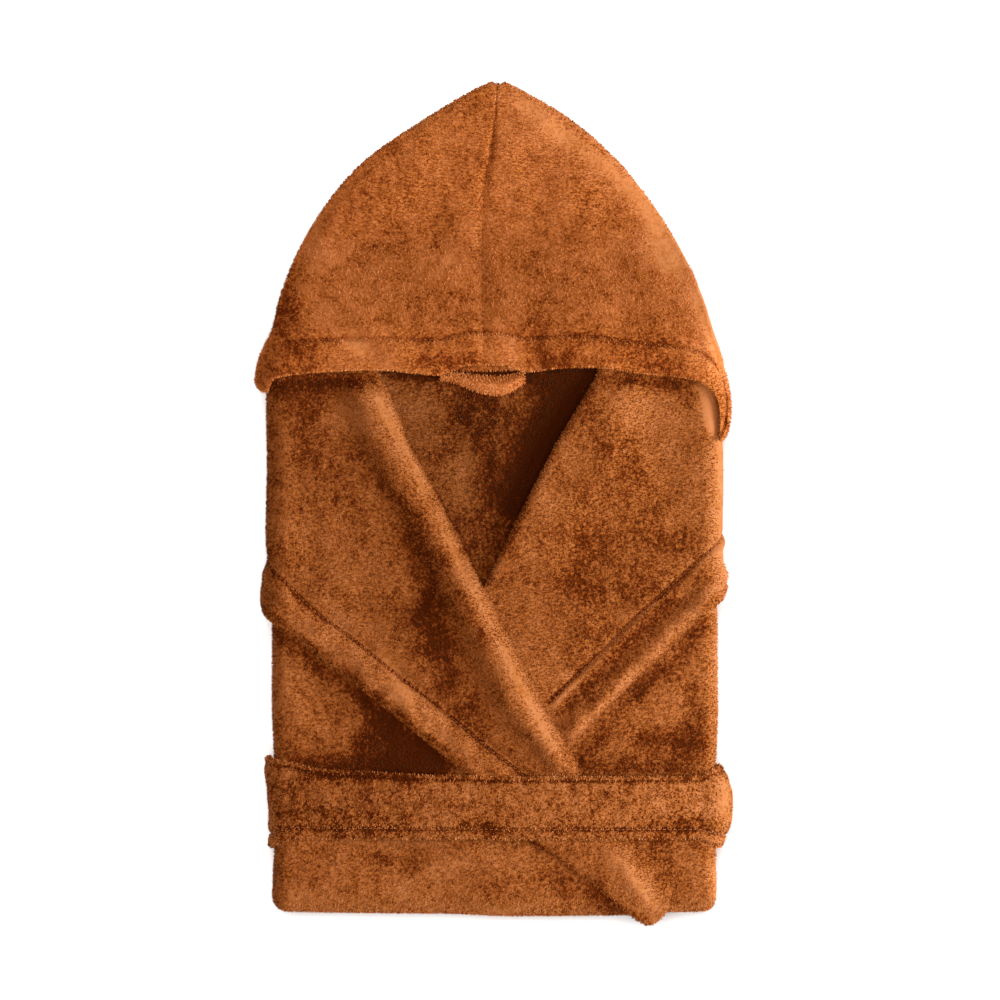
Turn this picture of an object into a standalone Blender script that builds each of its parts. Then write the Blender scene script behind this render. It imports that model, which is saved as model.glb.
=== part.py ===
"""Hooded terry bathrobe, folded flat for a shelf.

It lies front up. The sides and sleeves are folded behind, the skirt is folded up behind them, the belt goes
once round the bundle, and the hood lies spread above the neck and droops from the bundle to the shelf.
Sizes in the tables are millimetres in the robe's own frame: x across, y towards the hood, z up, with z = 0
on the shelf. A place on the cloth is given as (across, along): how far across the front, and how far along
it, measured round the folds, as if the front were still flat.
"""

import math
from collections import namedtuple

import bmesh
import bpy
from mathutils import Vector

MM = 0.001
MIDDLE = Vector((0.1, -0.9, 0.0))  # of the whole outline on the shelf, which is the part's origin

# Cloth
CLOTH = 3.0  # one layer of terry with its pile
SEAT = 0.3  # gap between pieces that touch
LOOSE = 0.7  # a turned-back collar doesn't press on its front
SIDE_LOOSE = 0.9  # and less still round the side fold
LEFT_HEM = 31.0  # collar hems, edge to stitch line
RIGHT_HEM = 37.0
HEM_RISE = 3.2  # what the second layer of a hem adds, puffed up a little
STITCH_DIP = 1.1
LIP_WIDTH = 12.0  # what the collar's roll turns under, up to its seam with the front

# The folded bundle
FOLD_RADIUS = 25.0  # of the big fold at the skirt, half the height of the bundle
FOLD_Y = -303.0  # where the front starts to turn round that fold
FOLD_BOW = 1.6  # how far the middle of the fold stands proud of its corners
TOP_Z = 2 * FOLD_RADIUS
SIDE_RADIUS = 12.0  # of the folded edges of the upper and the lower stack
LEFT_EDGE = 164.0  # from the middle to where the side fold starts
RIGHT_EDGE = 167.2
NECK_Y = 115.0  # the upper stack's end under the hood
LOWER_NECK_Y = 122.0
SEAM_Y = 104.5  # neck seam of the back
CROWN = 5.0  # how much fuller the bundle is in the middle
WAIST_DEPTH = 3.0  # how far the belt presses in
PINCH = 3.0  # how far the belt pulls the sides in
LAP_RISE = CLOTH + 0.6  # the front that laps over rises over the other
COLLAR_RISE = CLOTH + LOOSE + SEAT + 0.4  # and over the other one's collar
FRONT_TURN = math.radians(140)  # how far round a side fold the fronts reach
COLLAR_TURN = math.radians(128)
CORE_TURN = math.radians(150)
FRONT_END = math.radians(165)  # and how far round the skirt fold
CORE_DROP = 2 * (CLOTH + SEAT)  # two layers lie on the hidden ones

# Belt
BELT_Y = -246.4
BELT_WIDTH = 52.0
BELT_CLOTH = 4.5  # a sewn tube, two thin layers
BELT_FLARE = 9.0  # how much its upper edge rises at the sides
CHANNEL_DEPTH = BELT_CLOTH + 0.7  # in the underside, so the belt lies flush
CHANNEL_HALF = BELT_WIDTH / 2 + BELT_FLARE + 1.5
BELT_ARCH = 14.6  # how much higher it is in the middle, over the laps and rolls

# Across the belt's outer face: share of the width from the lower edge, and share of the thickness
BELT_FACE = ((0.0, 0.8), (0.03, 1.0), (0.12, 1.0), (0.15, 0.78), (0.18, 1.0), (0.5, 1.05), (0.9, 1.0),
             (0.94, 0.86), (0.97, 1.0), (1.0, 0.8))

# Rounded neck end of the two stacks: share of the way down, and reach towards the hood
NECK_LOBES = ((0.05, 5.0), (0.16, 8.0), (0.28, 5.0), (0.36, -3.0), (0.45, 5.0), (0.68, 9.5), (0.92, 5.5))

# Rows of the fronts, along
TOP_ROWS = (115, 108, 101, 78, 55, 32, 10, -12, -28, -42, -56, -66, -76, -88, -100, -116, -132, -148, -164,
            -181, -198, -210, -222, -236, -251)
LEFT_EXTRA = (-49, -61, -71, -82, -94, -108)  # and the collars' own, where their hems go round the side
RIGHT_EXTRA = (-20, -34, -38, -49, -61, -71, -82)
SKIRT_ROWS = (-264, -280, -303)
FOLD_TURNS = (22, 45, 68, 90, 112, 136)  # degrees round the skirt fold, then FRONT_END

# Free edges, across at each place along. Roll: the soft turned edge at the V. Hem: the collar's outer edge,
# which goes on round the side fold.
Edge = namedtuple("Edge", "along roll hem")
LEFT_EDGES = (
    Edge(137, -103, None), Edge(101, -91, None), Edge(73, -78, None), Edge(49, -69.5, None),
    Edge(33, -61, None), Edge(-3, -42, None), Edge(-31, -27.5, None), Edge(-60, -13.5, -212),
    Edge(-88, 1.5, -184), Edge(-108, 11.8, -157), Edge(-136, 26, -122), Edge(-161, 37.5, -90),
    Edge(-181, 49.5, -65), Edge(-197, 61, -46), Edge(-213, 66.8, -25), Edge(-231, 70.5, -2),
    Edge(-251, 73.5, 22),
)
RIGHT_EDGES = (
    Edge(137, 91, None), Edge(101, 83, None), Edge(77, 69.6, None), Edge(45, 50.4, None),
    Edge(13, 34, None), Edge(-19, 17.6, None), Edge(-47, 4, 214), Edge(-72, -7.5, 187),
    Edge(-96, -16, 158), Edge(-119, -26, 138), Edge(-149, -40, 106), Edge(-181, -54, 74),
    Edge(-206, -65, 52),
)
CROSSING_Y = -72.0  # point of the V, where the left roll starts to lap over the right
TUCK = 20.0  # how far the right collar goes on under the left roll
LAP = 86.0  # and the right front

# Front edge of the lapping front below the belt, hidden by the belt's end
Place = namedtuple("Place", "along across")
LAP_EDGE = (Place(-251, 73.5), Place(-280, 92), Place(-303, 106), Place(-330, 118), Place(-400, 121))

# Hood: outlines from corner to point, and its mouth from seam to corner
Spot = namedtuple("Spot", "x y")
HOOD_SEAM = (Spot(-7.2, 108.4), Spot(-7.2, 128), Spot(-8.8, 157), Spot(-8.8, 201), Spot(-6.4, 253),
             Spot(0, 293), Spot(4, 338))
HOOD_LEFT = (Spot(-181, 86.8), Spot(-186.6, 88.6), Spot(-190, 93.5), Spot(-190.4, 100), Spot(-189, 108),
             Spot(-184.8, 121), Spot(-176.8, 137), Spot(-171.2, 161), Spot(-156, 201), Spot(-132, 241),
             Spot(-103.2, 273), Spot(-57.6, 305), Spot(-17.6, 329), Spot(2.4, 338.6))
HOOD_RIGHT = (Spot(183.6, 48), Spot(187.4, 54), Spot(189.8, 65), Spot(190.6, 78), Spot(188.6, 92),
              Spot(185.6, 105), Spot(181.6, 121), Spot(176, 137), Spot(168.8, 161), Spot(151.2, 201),
              Spot(126.4, 241), Spot(100, 273), Spot(64, 305), Spot(24.8, 329), Spot(5.6, 338.6))
MOUTH_LEFT = (Spot(-7.2, 108.4), Spot(-26, 107), Spot(-42, 100.5), Spot(-60, 101.5), Spot(-92, 104.4),
              Spot(-138, 102.8), Spot(-162, 101), Spot(-174.5, 99), Spot(-179, 94.5))
MOUTH_RIGHT = (Spot(-7.2, 108.4), Spot(8, 108), Spot(26, 103), Spot(54, 106), Spot(84, 106.6),
               Spot(118, 101.8), Spot(150, 98.4), Spot(165.6, 94.8), Spot(175.2, 87.6), Spot(180, 79),
               Spot(182, 66))
UNDER_LEFT = (Spot(-7.2, 104.9), Spot(-92, 106.4), Spot(-150, 104.5), Spot(-170, 102.5), Spot(-178, 97))
UNDER_RIGHT = (Spot(-7.2, 104.9), Spot(90, 107.4), Spot(140, 103), Spot(165, 98), Spot(176.5, 91),
               Spot(181, 82), Spot(182.6, 68))
HOOD_HEM_RISE = 2.2
HOOD_ROWS = (0, 0.012, 0.026, 0.044, 0.07, 0.104, 0.112, 0.118, 0.126, 0.15, 0.19, 0.24, 0.29, 0.34, 0.4,
             0.47, 0.55, 0.64, 0.74, 0.84, 0.92, 0.97, 0.99)
HOOD_GAP = 0.9  # between the two leaves of the flat hood
MOUTH_GAP = 2.8  # at the mouth, over the neck
DROOP = 13.0  # of the hood's side folds past the bundle's edge

# How the hood falls from the bundle to the shelf: share of its height on the bundle
Drape = namedtuple("Drape", "y share")
HOOD_DRAPE = (Drape(120, 1.0), Drape(131, 0.965), Drape(142, 0.885), Drape(157, 0.72), Drape(176, 0.48),
              Drape(194, 0.26), Drape(210, 0.1), Drape(226, 0.02), Drape(240, 0.0), Drape(300, 0.0))

# Soft ridges in the hood where the collars' rolls go on beneath it
Ridge = namedtuple("Ridge", "x0 y0 x1 y1 width rise")
HOOD_RIDGES = (Ridge(-66, 108, -122, 160, 11, 2.6), Ridge(82, 107, 127, 138, 9, 2.2))

# Hanging loop, and the belt's free end
Loop = namedtuple("Loop", "x top bottom rise")
HANG_LOOP = (Loop(-42, 103.4, 97.5, 0.2), Loop(-30, 102.6, 95, 0.6), Loop(-18, 101.4, 90, 1.2),
             Loop(-7, 100.4, 86.4, 1.6), Loop(5, 100, 85.6, 1.6), Loop(15, 101.2, 88, 1.2),
             Loop(21, 103, 92, 0.6), Loop(25, 104, 94.5, 0.2))
Tail = namedtuple("Tail", "y left right")
BELT_TAIL = (Tail(-256, 10, 146.5), Tail(-265, 20, 146), Tail(-274, 33, 145.6), Tail(-286, 54, 144.8),
             Tail(-298, 70, 143.2), Tail(-310, 85.5, 141.8), Tail(-320, 97, 140.8), Tail(-329, 107, 138),
             Tail(-335, 115.5, 133), Tail(-338.6, 122, 128))
TAIL_CREST = Ridge(88, -262, 134, -324, 13, 3.4)

TERRY = (0.47, 0.125, 0.032)


def smooth(value, start, end):
    """An S-curve from 0 at start to 1 at end."""
    share = min(max((value - start) / (end - start), 0.0), 1.0)
    return share * share * (3 - 2 * share)


def read_table(keys, values, at):
    """The value at a place along a table, on a smooth curve through its rows and straight on past them."""
    if keys[0] > keys[-1]:
        keys, values = keys[::-1], values[::-1]
    last = len(keys) - 1
    slopes = [(values[i + 1] - values[i]) / (keys[i + 1] - keys[i]) for i in range(last)]
    if at <= keys[0]:
        return values[0] + slopes[0] * (at - keys[0])
    if at >= keys[last]:
        return values[last] + slopes[-1] * (at - keys[last])
    row = max(i for i in range(last) if keys[i] <= at)
    step = keys[row + 1] - keys[row]
    before = slopes[max(row - 1, 0)] + slopes[row]
    after = slopes[row] + slopes[min(row + 1, last - 1)]
    t = (at - keys[row]) / step
    rise = values[row + 1] - values[row]
    bend = (before / 2 * step - rise) * (1 - t) - (after / 2 * step - rise) * t
    return values[row] + rise * t + t * (1 - t) * bend


def column(rows, name, at, key="along"):
    """A named column of a table of named rows, read at a place."""
    filled = [row for row in rows if getattr(row, name) is not None]
    places, values = [getattr(row, key) for row in filled], [getattr(row, name) for row in filled]
    return read_table(places, values, at)


def along_curve(spots, share):
    """A point at a share of the length of the smooth curve through these spots."""
    lengths = [0.0]
    for start, end in zip(spots, spots[1:]):
        lengths.append(lengths[-1] + math.dist(start, end))
    at = share * lengths[-1]
    x, y = (read_table(lengths, [spot[axis] for spot in spots], at) for axis in (0, 1))
    return Vector((x, y))


def ridge_rise(ridge, x, y):
    """How much a straight soft ridge adds at a place; it fades past its ends."""
    run = Vector((ridge.x1 - ridge.x0, ridge.y1 - ridge.y0))
    offset = Vector((x - ridge.x0, y - ridge.y0))
    share = min(max(offset.dot(run) / run.length_squared, 0.0), 1.0)
    away = (offset - run * share).length / ridge.width
    return ridge.rise * math.exp(-away * away)


def belt_press(y):
    """1 under the belt, fading to 0 above and below it."""
    return math.exp(-(((y - BELT_Y) / 40.0) ** 2))


def side_edge(across, y):
    """Where the side fold starts on this side; the belt pulls it in."""
    edge = LEFT_EDGE if across < 0 else RIGHT_EDGE
    return edge - PINCH * belt_press(y)


def swell(across, along):
    """Height of the fronts' outer face above the plane of the side folds, over the flat of the bundle."""
    share = min(abs(across) / side_edge(across, along), 1.0)
    flat = smooth(along, FOLD_Y - 25, FOLD_Y + 30)
    crown = CROWN * (1 - share**2) ** 2 * flat
    return crown - WAIST_DEPTH * belt_press(along) * (1 - share**2) * flat


def on_bundle(across, along, lift):
    """The point on the folded bundle at this place on the front, moved out by lift from its outer face."""
    turn = max(FOLD_Y - along, 0.0) / FOLD_RADIUS
    if turn > math.pi:
        y, z, out_y, out_z = FOLD_Y + (turn - math.pi) * FOLD_RADIUS, 0.0, 0.0, -1.0
    else:
        out_y, out_z = -math.sin(turn), math.cos(turn)
        y = max(along, FOLD_Y) + FOLD_RADIUS * out_y
        z = FOLD_RADIUS * (1 + out_z)
    edge = side_edge(across, y)
    past = abs(across) - edge
    if past <= 0:
        x, rise = across, lift + swell(across, along)
    else:
        side_turn = past / SIDE_RADIUS
        x = math.copysign(edge + (SIDE_RADIUS + lift) * math.sin(side_turn), across)
        rise = (SIDE_RADIUS + lift) * math.cos(side_turn) - SIDE_RADIUS
    bow = FOLD_BOW * (1 - min(abs(x) / LEFT_EDGE, 1.0) ** 2) * smooth(-y, 240, 320)
    return Vector((x, y + out_y * rise - bow, z + out_z * rise))


def side_limit(sign, turn, y):
    """The place across where a piece ends, this far round the side fold."""
    return sign * (side_edge(sign, y) + SIDE_RADIUS * turn)


def facing_up(along):
    """1 on top of the bundle, falling to 0 underneath it."""
    turn = min(max(FOLD_Y - along, 0.0) / FOLD_RADIUS, math.pi)
    return (1 + math.cos(turn)) / 2


def left_roll(along):
    return column(LEFT_EDGES, "roll", along)


def right_collar_edge(along):
    """Inner edge of the right collar: its roll down to the crossing, then tucked under the left roll."""
    roll = column(RIGHT_EDGES, "roll", along)
    return max(roll, left_roll(along) - TUCK) if along < CROSSING_Y else roll


def right_front_edge(along):
    """Inner edge of the right front: inside the roll down to the crossing, then under the left front."""
    seam = column(RIGHT_EDGES, "roll", along) + LIP_WIDTH
    if along >= CROSSING_Y:
        return seam
    hidden = column(LAP_EDGE, "across", along) if along < -251 else left_roll(along)
    past = smooth(-along, -CROSSING_Y, -CROSSING_Y + 45)
    return max(seam - 1.6 * LIP_WIDTH * past, hidden - LAP)


def left_front_edge(along):
    """Inner edge of the left front: inside the roll down to the belt, then its own edge."""
    if along >= -251:
        return left_roll(along) - LIP_WIDTH
    return column(LAP_EDGE, "across", along)


def left_rise(across, along):
    """How far the left front rises over the right front and the right collar, where it laps over them."""
    over_front = smooth(across - right_front_edge(along), -78, -18)
    over_collar = smooth(across - right_collar_edge(along), -50, -4) * smooth(along, -234, -208)
    over_collar *= smooth(-along, 25, 62)
    return (LAP_RISE * over_front + COLLAR_RISE * over_collar) * facing_up(along)


def right_sink(across, along):
    """How far the right front is pushed in where the left one laps over it round the skirt fold."""
    lapped = 1 - smooth(across - column(LAP_EDGE, "across", along), 2, 24) if along < -251 else 0.0
    return (LAP_RISE * lapped) * (1 - facing_up(along))


def material(name, colour, roughness=0.95):
    made = bpy.data.materials.new(name)
    made.use_nodes = True
    shader = made.node_tree.nodes["Principled BSDF"]
    shader.inputs["Base Color"].default_value = (*colour, 1.0)
    shader.inputs["Roughness"].default_value = roughness
    shader.inputs["Metallic"].default_value = 0.0
    return made


def new_piece(name, bm, tint, collection):
    """A named, smooth-shaded object from this mesh, with its own terry material."""
    bmesh.ops.translate(bm, verts=bm.verts, vec=-MIDDLE * MM)
    bmesh.ops.recalc_face_normals(bm, faces=bm.faces)
    mesh = bpy.data.meshes.new(name)
    bm.to_mesh(mesh)
    bm.free()
    mesh.materials.append(material(name + "_terry", [part * tint for part in TERRY]))
    mesh.shade_smooth()
    mesh.set_sharp_from_angle(angle=math.radians(50))
    piece = bpy.data.objects.new(name, mesh)
    collection.objects.link(piece)
    return piece


def strip(bm, first, second, closed=False):
    """Faces between two rows of vertices."""
    count = len(first)
    for i in range(count if closed else count - 1):
        j = (i + 1) % count
        corners = (first[i], first[j], second[j], second[i])
        distinct = list(dict.fromkeys(corners))
        if len(distinct) > 2:
            bm.faces.new(distinct)


def cloth_wall(name, rows, tint, collection):
    """A wall of cloth: each row is a section, a list of (outer, inner) points; the four edges are closed."""
    bm = bmesh.new()
    rings = []
    for row in rows:
        outer = [bm.verts.new(point * MM) for point, _ in row]
        inner = [bm.verts.new(point * MM) for _, point in row]
        rings.append(outer + inner[::-1])
    for first, second in zip(rings, rings[1:]):
        strip(bm, first, second, closed=True)
    for ring in (rings[0], rings[-1]):
        half = len(ring) // 2
        strip(bm, ring[:half], ring[:half - 1:-1])
    return new_piece(name, bm, tint, collection)


def spread(start, end, count):
    return [start + (end - start) * i / (count - 1) for i in range(count)]


def front_alongs():
    turned = [FOLD_Y - FOLD_RADIUS * math.radians(turn) for turn in FOLD_TURNS]
    return [*TOP_ROWS, *SKIRT_ROWS, *turned, FOLD_Y - FOLD_RADIUS * FRONT_END]


def build_front(name, sign, inner_edge, rise, tint, collection):
    """A front from its edge at the V, over the side fold, and from the neck round the skirt fold."""
    rows = []
    for along in front_alongs():
        y = on_bundle(0, along, 0).y
        edge = side_edge(sign, y) * sign
        places = spread(inner_edge(along), edge, 8)
        places += [side_limit(sign, FRONT_TURN * share, y) for share in (0.2, 0.4, 0.6, 0.8, 1.0)]
        row = []
        for a in places:
            lift = rise(a, along)
            row.append((on_bundle(a, along, lift), on_bundle(a, along, lift - CLOTH)))
        rows.append(row)
    return cloth_wall(name, rows, tint, collection)


def build_back(collection):
    """The back's inside, which shows in the V, from the neck seam down past the crossing."""
    outer = -CLOTH - SEAT
    rows = []
    for along in (SEAM_Y, 78, 32, -12, -56, -88, -132):
        places = spread(-140, 140, 8)
        rows.append([(on_bundle(a, along, outer), on_bundle(a, along, outer - CLOTH)) for a in places])
    return cloth_wall("back", rows, 0.86, collection)


def roll_section(loft, curl):
    """Section through a roll, from the lip that meets the front's edge to its top: (inset, height) of the
    middle of the cloth. A curl of 1 turns the cloth right under, and 0 leaves it flat."""
    top = SEAT + LOOSE + CLOTH / 2 + loft
    length = math.pi * (top + CLOTH / 2) / 2 * curl + 6.0 * (1 - curl)
    inset, height, heading, steps = 0.0, top, 0.0, 5
    path = [(inset, height)]
    for _ in range(steps):
        heading += math.pi * curl / steps / 2
        inset -= length / steps * math.cos(heading)
        height -= length / steps * math.sin(heading)
        heading += math.pi * curl / steps / 2
        path.append((inset, height))
    nose = min(point[0] for point in path)
    lip = LIP_WIDTH - SEAT if curl > 0.99 else path[-1][0] - nose + CLOTH / 2 - 2.0
    path = [(inset - nose + CLOTH / 2, max(height, -CLOTH / 2)) for inset, height in path]
    path.append((lip, max(path[-1][1] - 2.0 * math.sin(heading), -CLOTH / 2)))
    return path[::-1]


def stretch(start, end, edge, share):
    """A place from start to end, counted outwards; its steps are closer where the cloth turns round the side
    fold."""
    wide_start, wide_end = (place + 5 * max(place - edge, 0.0) for place in (start, end))
    at = wide_start + (wide_end - wide_start) * share
    return at if at <= edge else edge + (at - edge) / 6


def collar_section(start, line, end, edge, loft, curl, loose):
    """Section through a collar from its lip to its hem: (place counted outwards, height) of the middle of
    the cloth. It starts at the roll's nose, and the hem runs from line to end."""
    base = SEAT + LOOSE + CLOTH / 2
    section = [(start + inset, height) for inset, height in roll_section(loft, curl)]
    run_start = section[-1][0]
    slack = max(start + min(34.0, (line - start) / 2), run_start + 2.0)
    for share in (0.3, 0.62, 1.0):
        section.append((run_start + (slack - run_start) * share, base + loft * (1 - smooth(share, 0, 1))))
    places = [stretch(slack, line, edge, share) for share in spread(0, 1, 8)[1:]]
    places += [stretch(line, end, edge, share) for share in (0.05, 0.14, 0.35, 0.56, 0.78, 0.93, 1.0)]
    return section + [(place, base + loose * smooth(place, edge - 10, edge + 6)) for place in places]


def build_collar(name, sign, alongs, inner_edge, loft_at, curl_at, rise, hem_fade, tint, collection):
    """A turned-back collar: a roll at the V, a flat run and a wide stitched hem that goes round the side."""
    edges, hem_width = (LEFT_EDGES, LEFT_HEM) if sign < 0 else (RIGHT_EDGES, RIGHT_HEM)
    rows = []
    for along in sorted(alongs, reverse=True):
        start = sign * inner_edge(along)
        slope = (column(edges, "hem", along + 6) - column(edges, "hem", along - 6)) / 12
        skew = min(math.hypot(1, slope), 1.35)
        hem = sign * column(edges, "hem", along)
        end = min(hem, sign * side_limit(sign, COLLAR_TURN, along))
        stitch = hem - hem_width * skew
        line = max(min(stitch, end - 5.0), start + 12.0, start + 0.45 * (end - start))
        loose = SIDE_LOOSE * (1 - smooth(along, 94, 110))
        edge = side_edge(sign, along)
        section = collar_section(start, line, end, edge, loft_at(along), curl_at(along), loose)
        row = []
        for i, (place, height) in enumerate(section):
            before, after = section[max(i - 1, 0)], section[min(i + 1, len(section) - 1)]
            run, climb = after[0] - before[0], after[1] - before[1]
            size = math.hypot(run, climb)
            out_place, out_lift = -climb / size, run / size
            past_line = (place - stitch) / skew if out_lift > 0 else -hem_width
            fade = hem_fade(sign * place, along)
            band = smooth(past_line, 0.5, 5.0) * (1 - 0.35 * smooth(past_line, hem_width - 4, hem_width))
            dip = STITCH_DIP * math.exp(-((past_line / 2.5) ** 2))
            lift = rise(sign * place, along) + height
            thick = CLOTH / 2 + (HEM_RISE * band - dip) * fade
            outer = on_bundle(sign * (place + out_place * thick), along, lift + out_lift * thick)
            thick = -CLOTH / 2
            inner = on_bundle(sign * (place + out_place * thick), along, lift + out_lift * thick)
            row.append((outer, inner))
        rows.append(row)
    return cloth_wall(name, rows, tint, collection)


def build_collars(collection):
    def left_loft(along):
        pressed = smooth(along, 84, 104) + smooth(-along, 200, 222)
        return 7.0 * (1 - 0.84 * min(pressed, 1.0))

    def right_loft(along):
        return 5.8 * (1 - 0.8 * smooth(along, 84, 104)) * smooth(along, CROSSING_Y, -20)

    def right_curl(along):
        return smooth(along, CROSSING_Y + 2, -52)

    build_collar(
        "collar_left", -1, TOP_ROWS + LEFT_EXTRA, left_roll, left_loft, lambda along: 1.0, left_rise,
        lambda place, along: 1.0, 1.0, collection,
    )
    right_alongs = [row for row in TOP_ROWS + RIGHT_EXTRA if row > -200]
    build_collar(
        "collar_right", 1, right_alongs, right_collar_edge, right_loft, right_curl,
        lambda place, along: 0.0,
        lambda place, along: smooth(place - left_roll(along), 2, 16), 1.03, collection,
    )


def core_lift(along, y, side_turn):
    """Outer face of the hidden layers: two layers down under the fronts, and flush past their end, with a
    channel for the belt underneath."""
    end = FOLD_Y - FOLD_RADIUS * FRONT_END
    lift = -(CORE_DROP + 1.2 * (1 - facing_up(along))) * smooth(along, end - 5.0, end - 1.2)
    if along < end - 1.0:
        away = abs(y - BELT_Y)
        channel = 1 - smooth(away, CHANNEL_HALF, CHANNEL_HALF + 4)
        lift -= CHANNEL_DEPTH * channel * (1 - smooth(side_turn, 1.0, 1.75))
    return lift


def build_folded_layers(collection):
    """The hidden layers, one rounded solid: an upper and a lower stack that meet at the skirt fold, parted
    by a groove along the sides and at the neck end, where each stack is rounded."""
    end = FOLD_Y - FOLD_RADIUS * FRONT_END
    turned = [FOLD_Y - FOLD_RADIUS * math.radians(turn) for turn in (30, 60, 90, 120, 150)]
    banks = [BELT_Y + side * (CHANNEL_HALF + ramp) for side, ramp in ((-1, 4), (-1, 0), (1, 0), (1, 4))]
    under_belt = spread(BELT_Y - 17, BELT_Y + 17, 3)
    under_y = (-298, *banks[:2], *under_belt, *banks[2:], -142, -76, 0, 74, LOWER_NECK_Y)
    under = [FOLD_Y - FOLD_RADIUS * math.pi - (y - FOLD_Y) for y in under_y]
    top = (NECK_Y, 101, 63, 25, -12, -42, -76, -114, -142, -170, -198, -222, -251, -280, -303)
    alongs = [*top, *turned, end - 1.2, end - 5.0, *under]
    turns = [CORE_TURN * share for share in (1.0, 0.8, 0.6, 0.4, 0.2)]
    bm = bmesh.new()
    rings = []
    for along in alongs:
        y = on_bundle(0, along, 0).y
        places = [(side_limit(-1, turn, y), turn) for turn in turns]
        places += [(a, 0.0) for a in spread(-side_edge(-1, y), side_edge(1, y), 11)]
        places += [(side_limit(1, turn, y), turn) for turn in turns[::-1]]
        row = [on_bundle(a, along, core_lift(along, y, turn)) for a, turn in places]
        rings.append([bm.verts.new(point * MM) for point in row])
    for first, second in zip(rings, rings[1:]):
        strip(bm, first, second)
    close_neck_end(bm, rings[0], rings[-1], len(turns))
    for side in (0, -1):
        fill_loop(bm, [ring[side] for ring in rings])
    return new_piece("folded_layers", bm, 0.8, collection)


def fill_loop(bm, loop):
    """Triangles that close a nearly flat loop of vertices."""
    bmesh.ops.triangulate(bm, faces=[bm.faces.new(loop)], ngon_method="EAR_CLIP")


def close_neck_end(bm, upper, lower, arc):
    """A rounded end on each stack, with a crease between them: rows across the flat part, and one face over
    the side folds (the first and last arc vertices of a row) at each end."""
    inner = slice(arc, len(upper) - arc)
    rows = [upper[inner]]
    for share, reach in NECK_LOBES:
        row = []
        for top, bottom in zip(upper[inner], lower[inner]):
            point = top.co.lerp(bottom.co, share)
            point.y += reach * MM
            row.append(bm.verts.new(point))
        rows.append(row)
    rows.append(lower[inner])
    for first, second in zip(rows, rows[1:]):
        strip(bm, first, second)
    fill_loop(bm, upper[:arc] + [row[0] for row in rows] + lower[:arc][::-1])
    fill_loop(bm, upper[-1:-arc - 1:-1] + [row[-1] for row in rows] + lower[-arc:])


def bridge(x, y):
    """What the hood's upper leaf rests on over the bundle: the collars, and a shallow sag over the neck."""
    y = min(y, NECK_Y)
    edge = LEFT_EDGE if x < 0 else RIGHT_EDGE
    share = min(abs(x) / edge, 1.0)
    collars = TOP_Z + CROWN * (1 - share**2) ** 2 + SEAT + LOOSE + CLOTH + 2.4
    sag = 1 - smooth(abs(x + 4), 20, 92)
    return collars - 3.6 * sag, collars


def neck_floor(x):
    """The back's inside face at the neck, under the hood's lower leaf."""
    share = min(abs(x) / LEFT_EDGE, 1.0)
    return TOP_Z + CROWN * (1 - share**2) ** 2 - CLOTH - SEAT


def droop(x, y):
    edge = LEFT_EDGE if x < 0 else RIGHT_EDGE
    past = max(abs(x) - edge - 4, 0.0) / 22.0
    return DROOP * past**1.6 * (1 - smooth(y, 135, 190))


def fall(y):
    return min(max(column(HOOD_DRAPE, "share", y, key="y"), 0.0), 1.0)


def lower_leaf(x, y):
    """Underside height of the hood's lower leaf, which starts at the neck seam and rises on the collars."""
    _, collars = bridge(x, y)
    at = min(y, NECK_Y)
    left, right = left_roll(at), column(RIGHT_EDGES, "roll", at)
    on_collar = 1 - smooth(x, left + 3, left + 36) if x < 0 else smooth(x, right - 36, right - 3)
    floor = neck_floor(x) + SEAT
    return (floor + (collars + 0.2 - floor) * on_collar - droop(x, y)) * fall(y)


def upper_leaf(x, y):
    """Underside height of the hood's upper leaf."""
    height, _ = bridge(x, y)
    height = (height - droop(x, y)) * fall(y)
    height += sum(ridge_rise(ridge, x, y) for ridge in HOOD_RIDGES)
    below = lower_leaf(x, y) + CLOTH
    return max(height + CLOTH + HOOD_GAP, below + HOOD_GAP)


def fold_line(outline, up, inset):
    """The middle of the hood's side fold at a share of its outline, and the direction that it faces."""
    sign = math.copysign(1, outline[2].x)
    step = along_curve(outline, min(up + 0.012, 1.0)) - along_curve(outline, max(up - 0.012, 0.0))
    out = Vector((step.y, -step.x)).normalized() * sign
    return along_curve(outline, up) - out * inset, out


def patch(seam, mouth, outline, inset, across_share, up):
    """A point of a flat hood panel between its centre seam, its mouth and its side fold."""
    straight = along_curve(seam, up).lerp(fold_line(outline, up, inset)[0], across_share)
    base = along_curve(seam, 0).lerp(fold_line(outline, 0, inset)[0], across_share)
    return straight + (along_curve(mouth, across_share) - base) * (1 - up) ** 3


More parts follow.
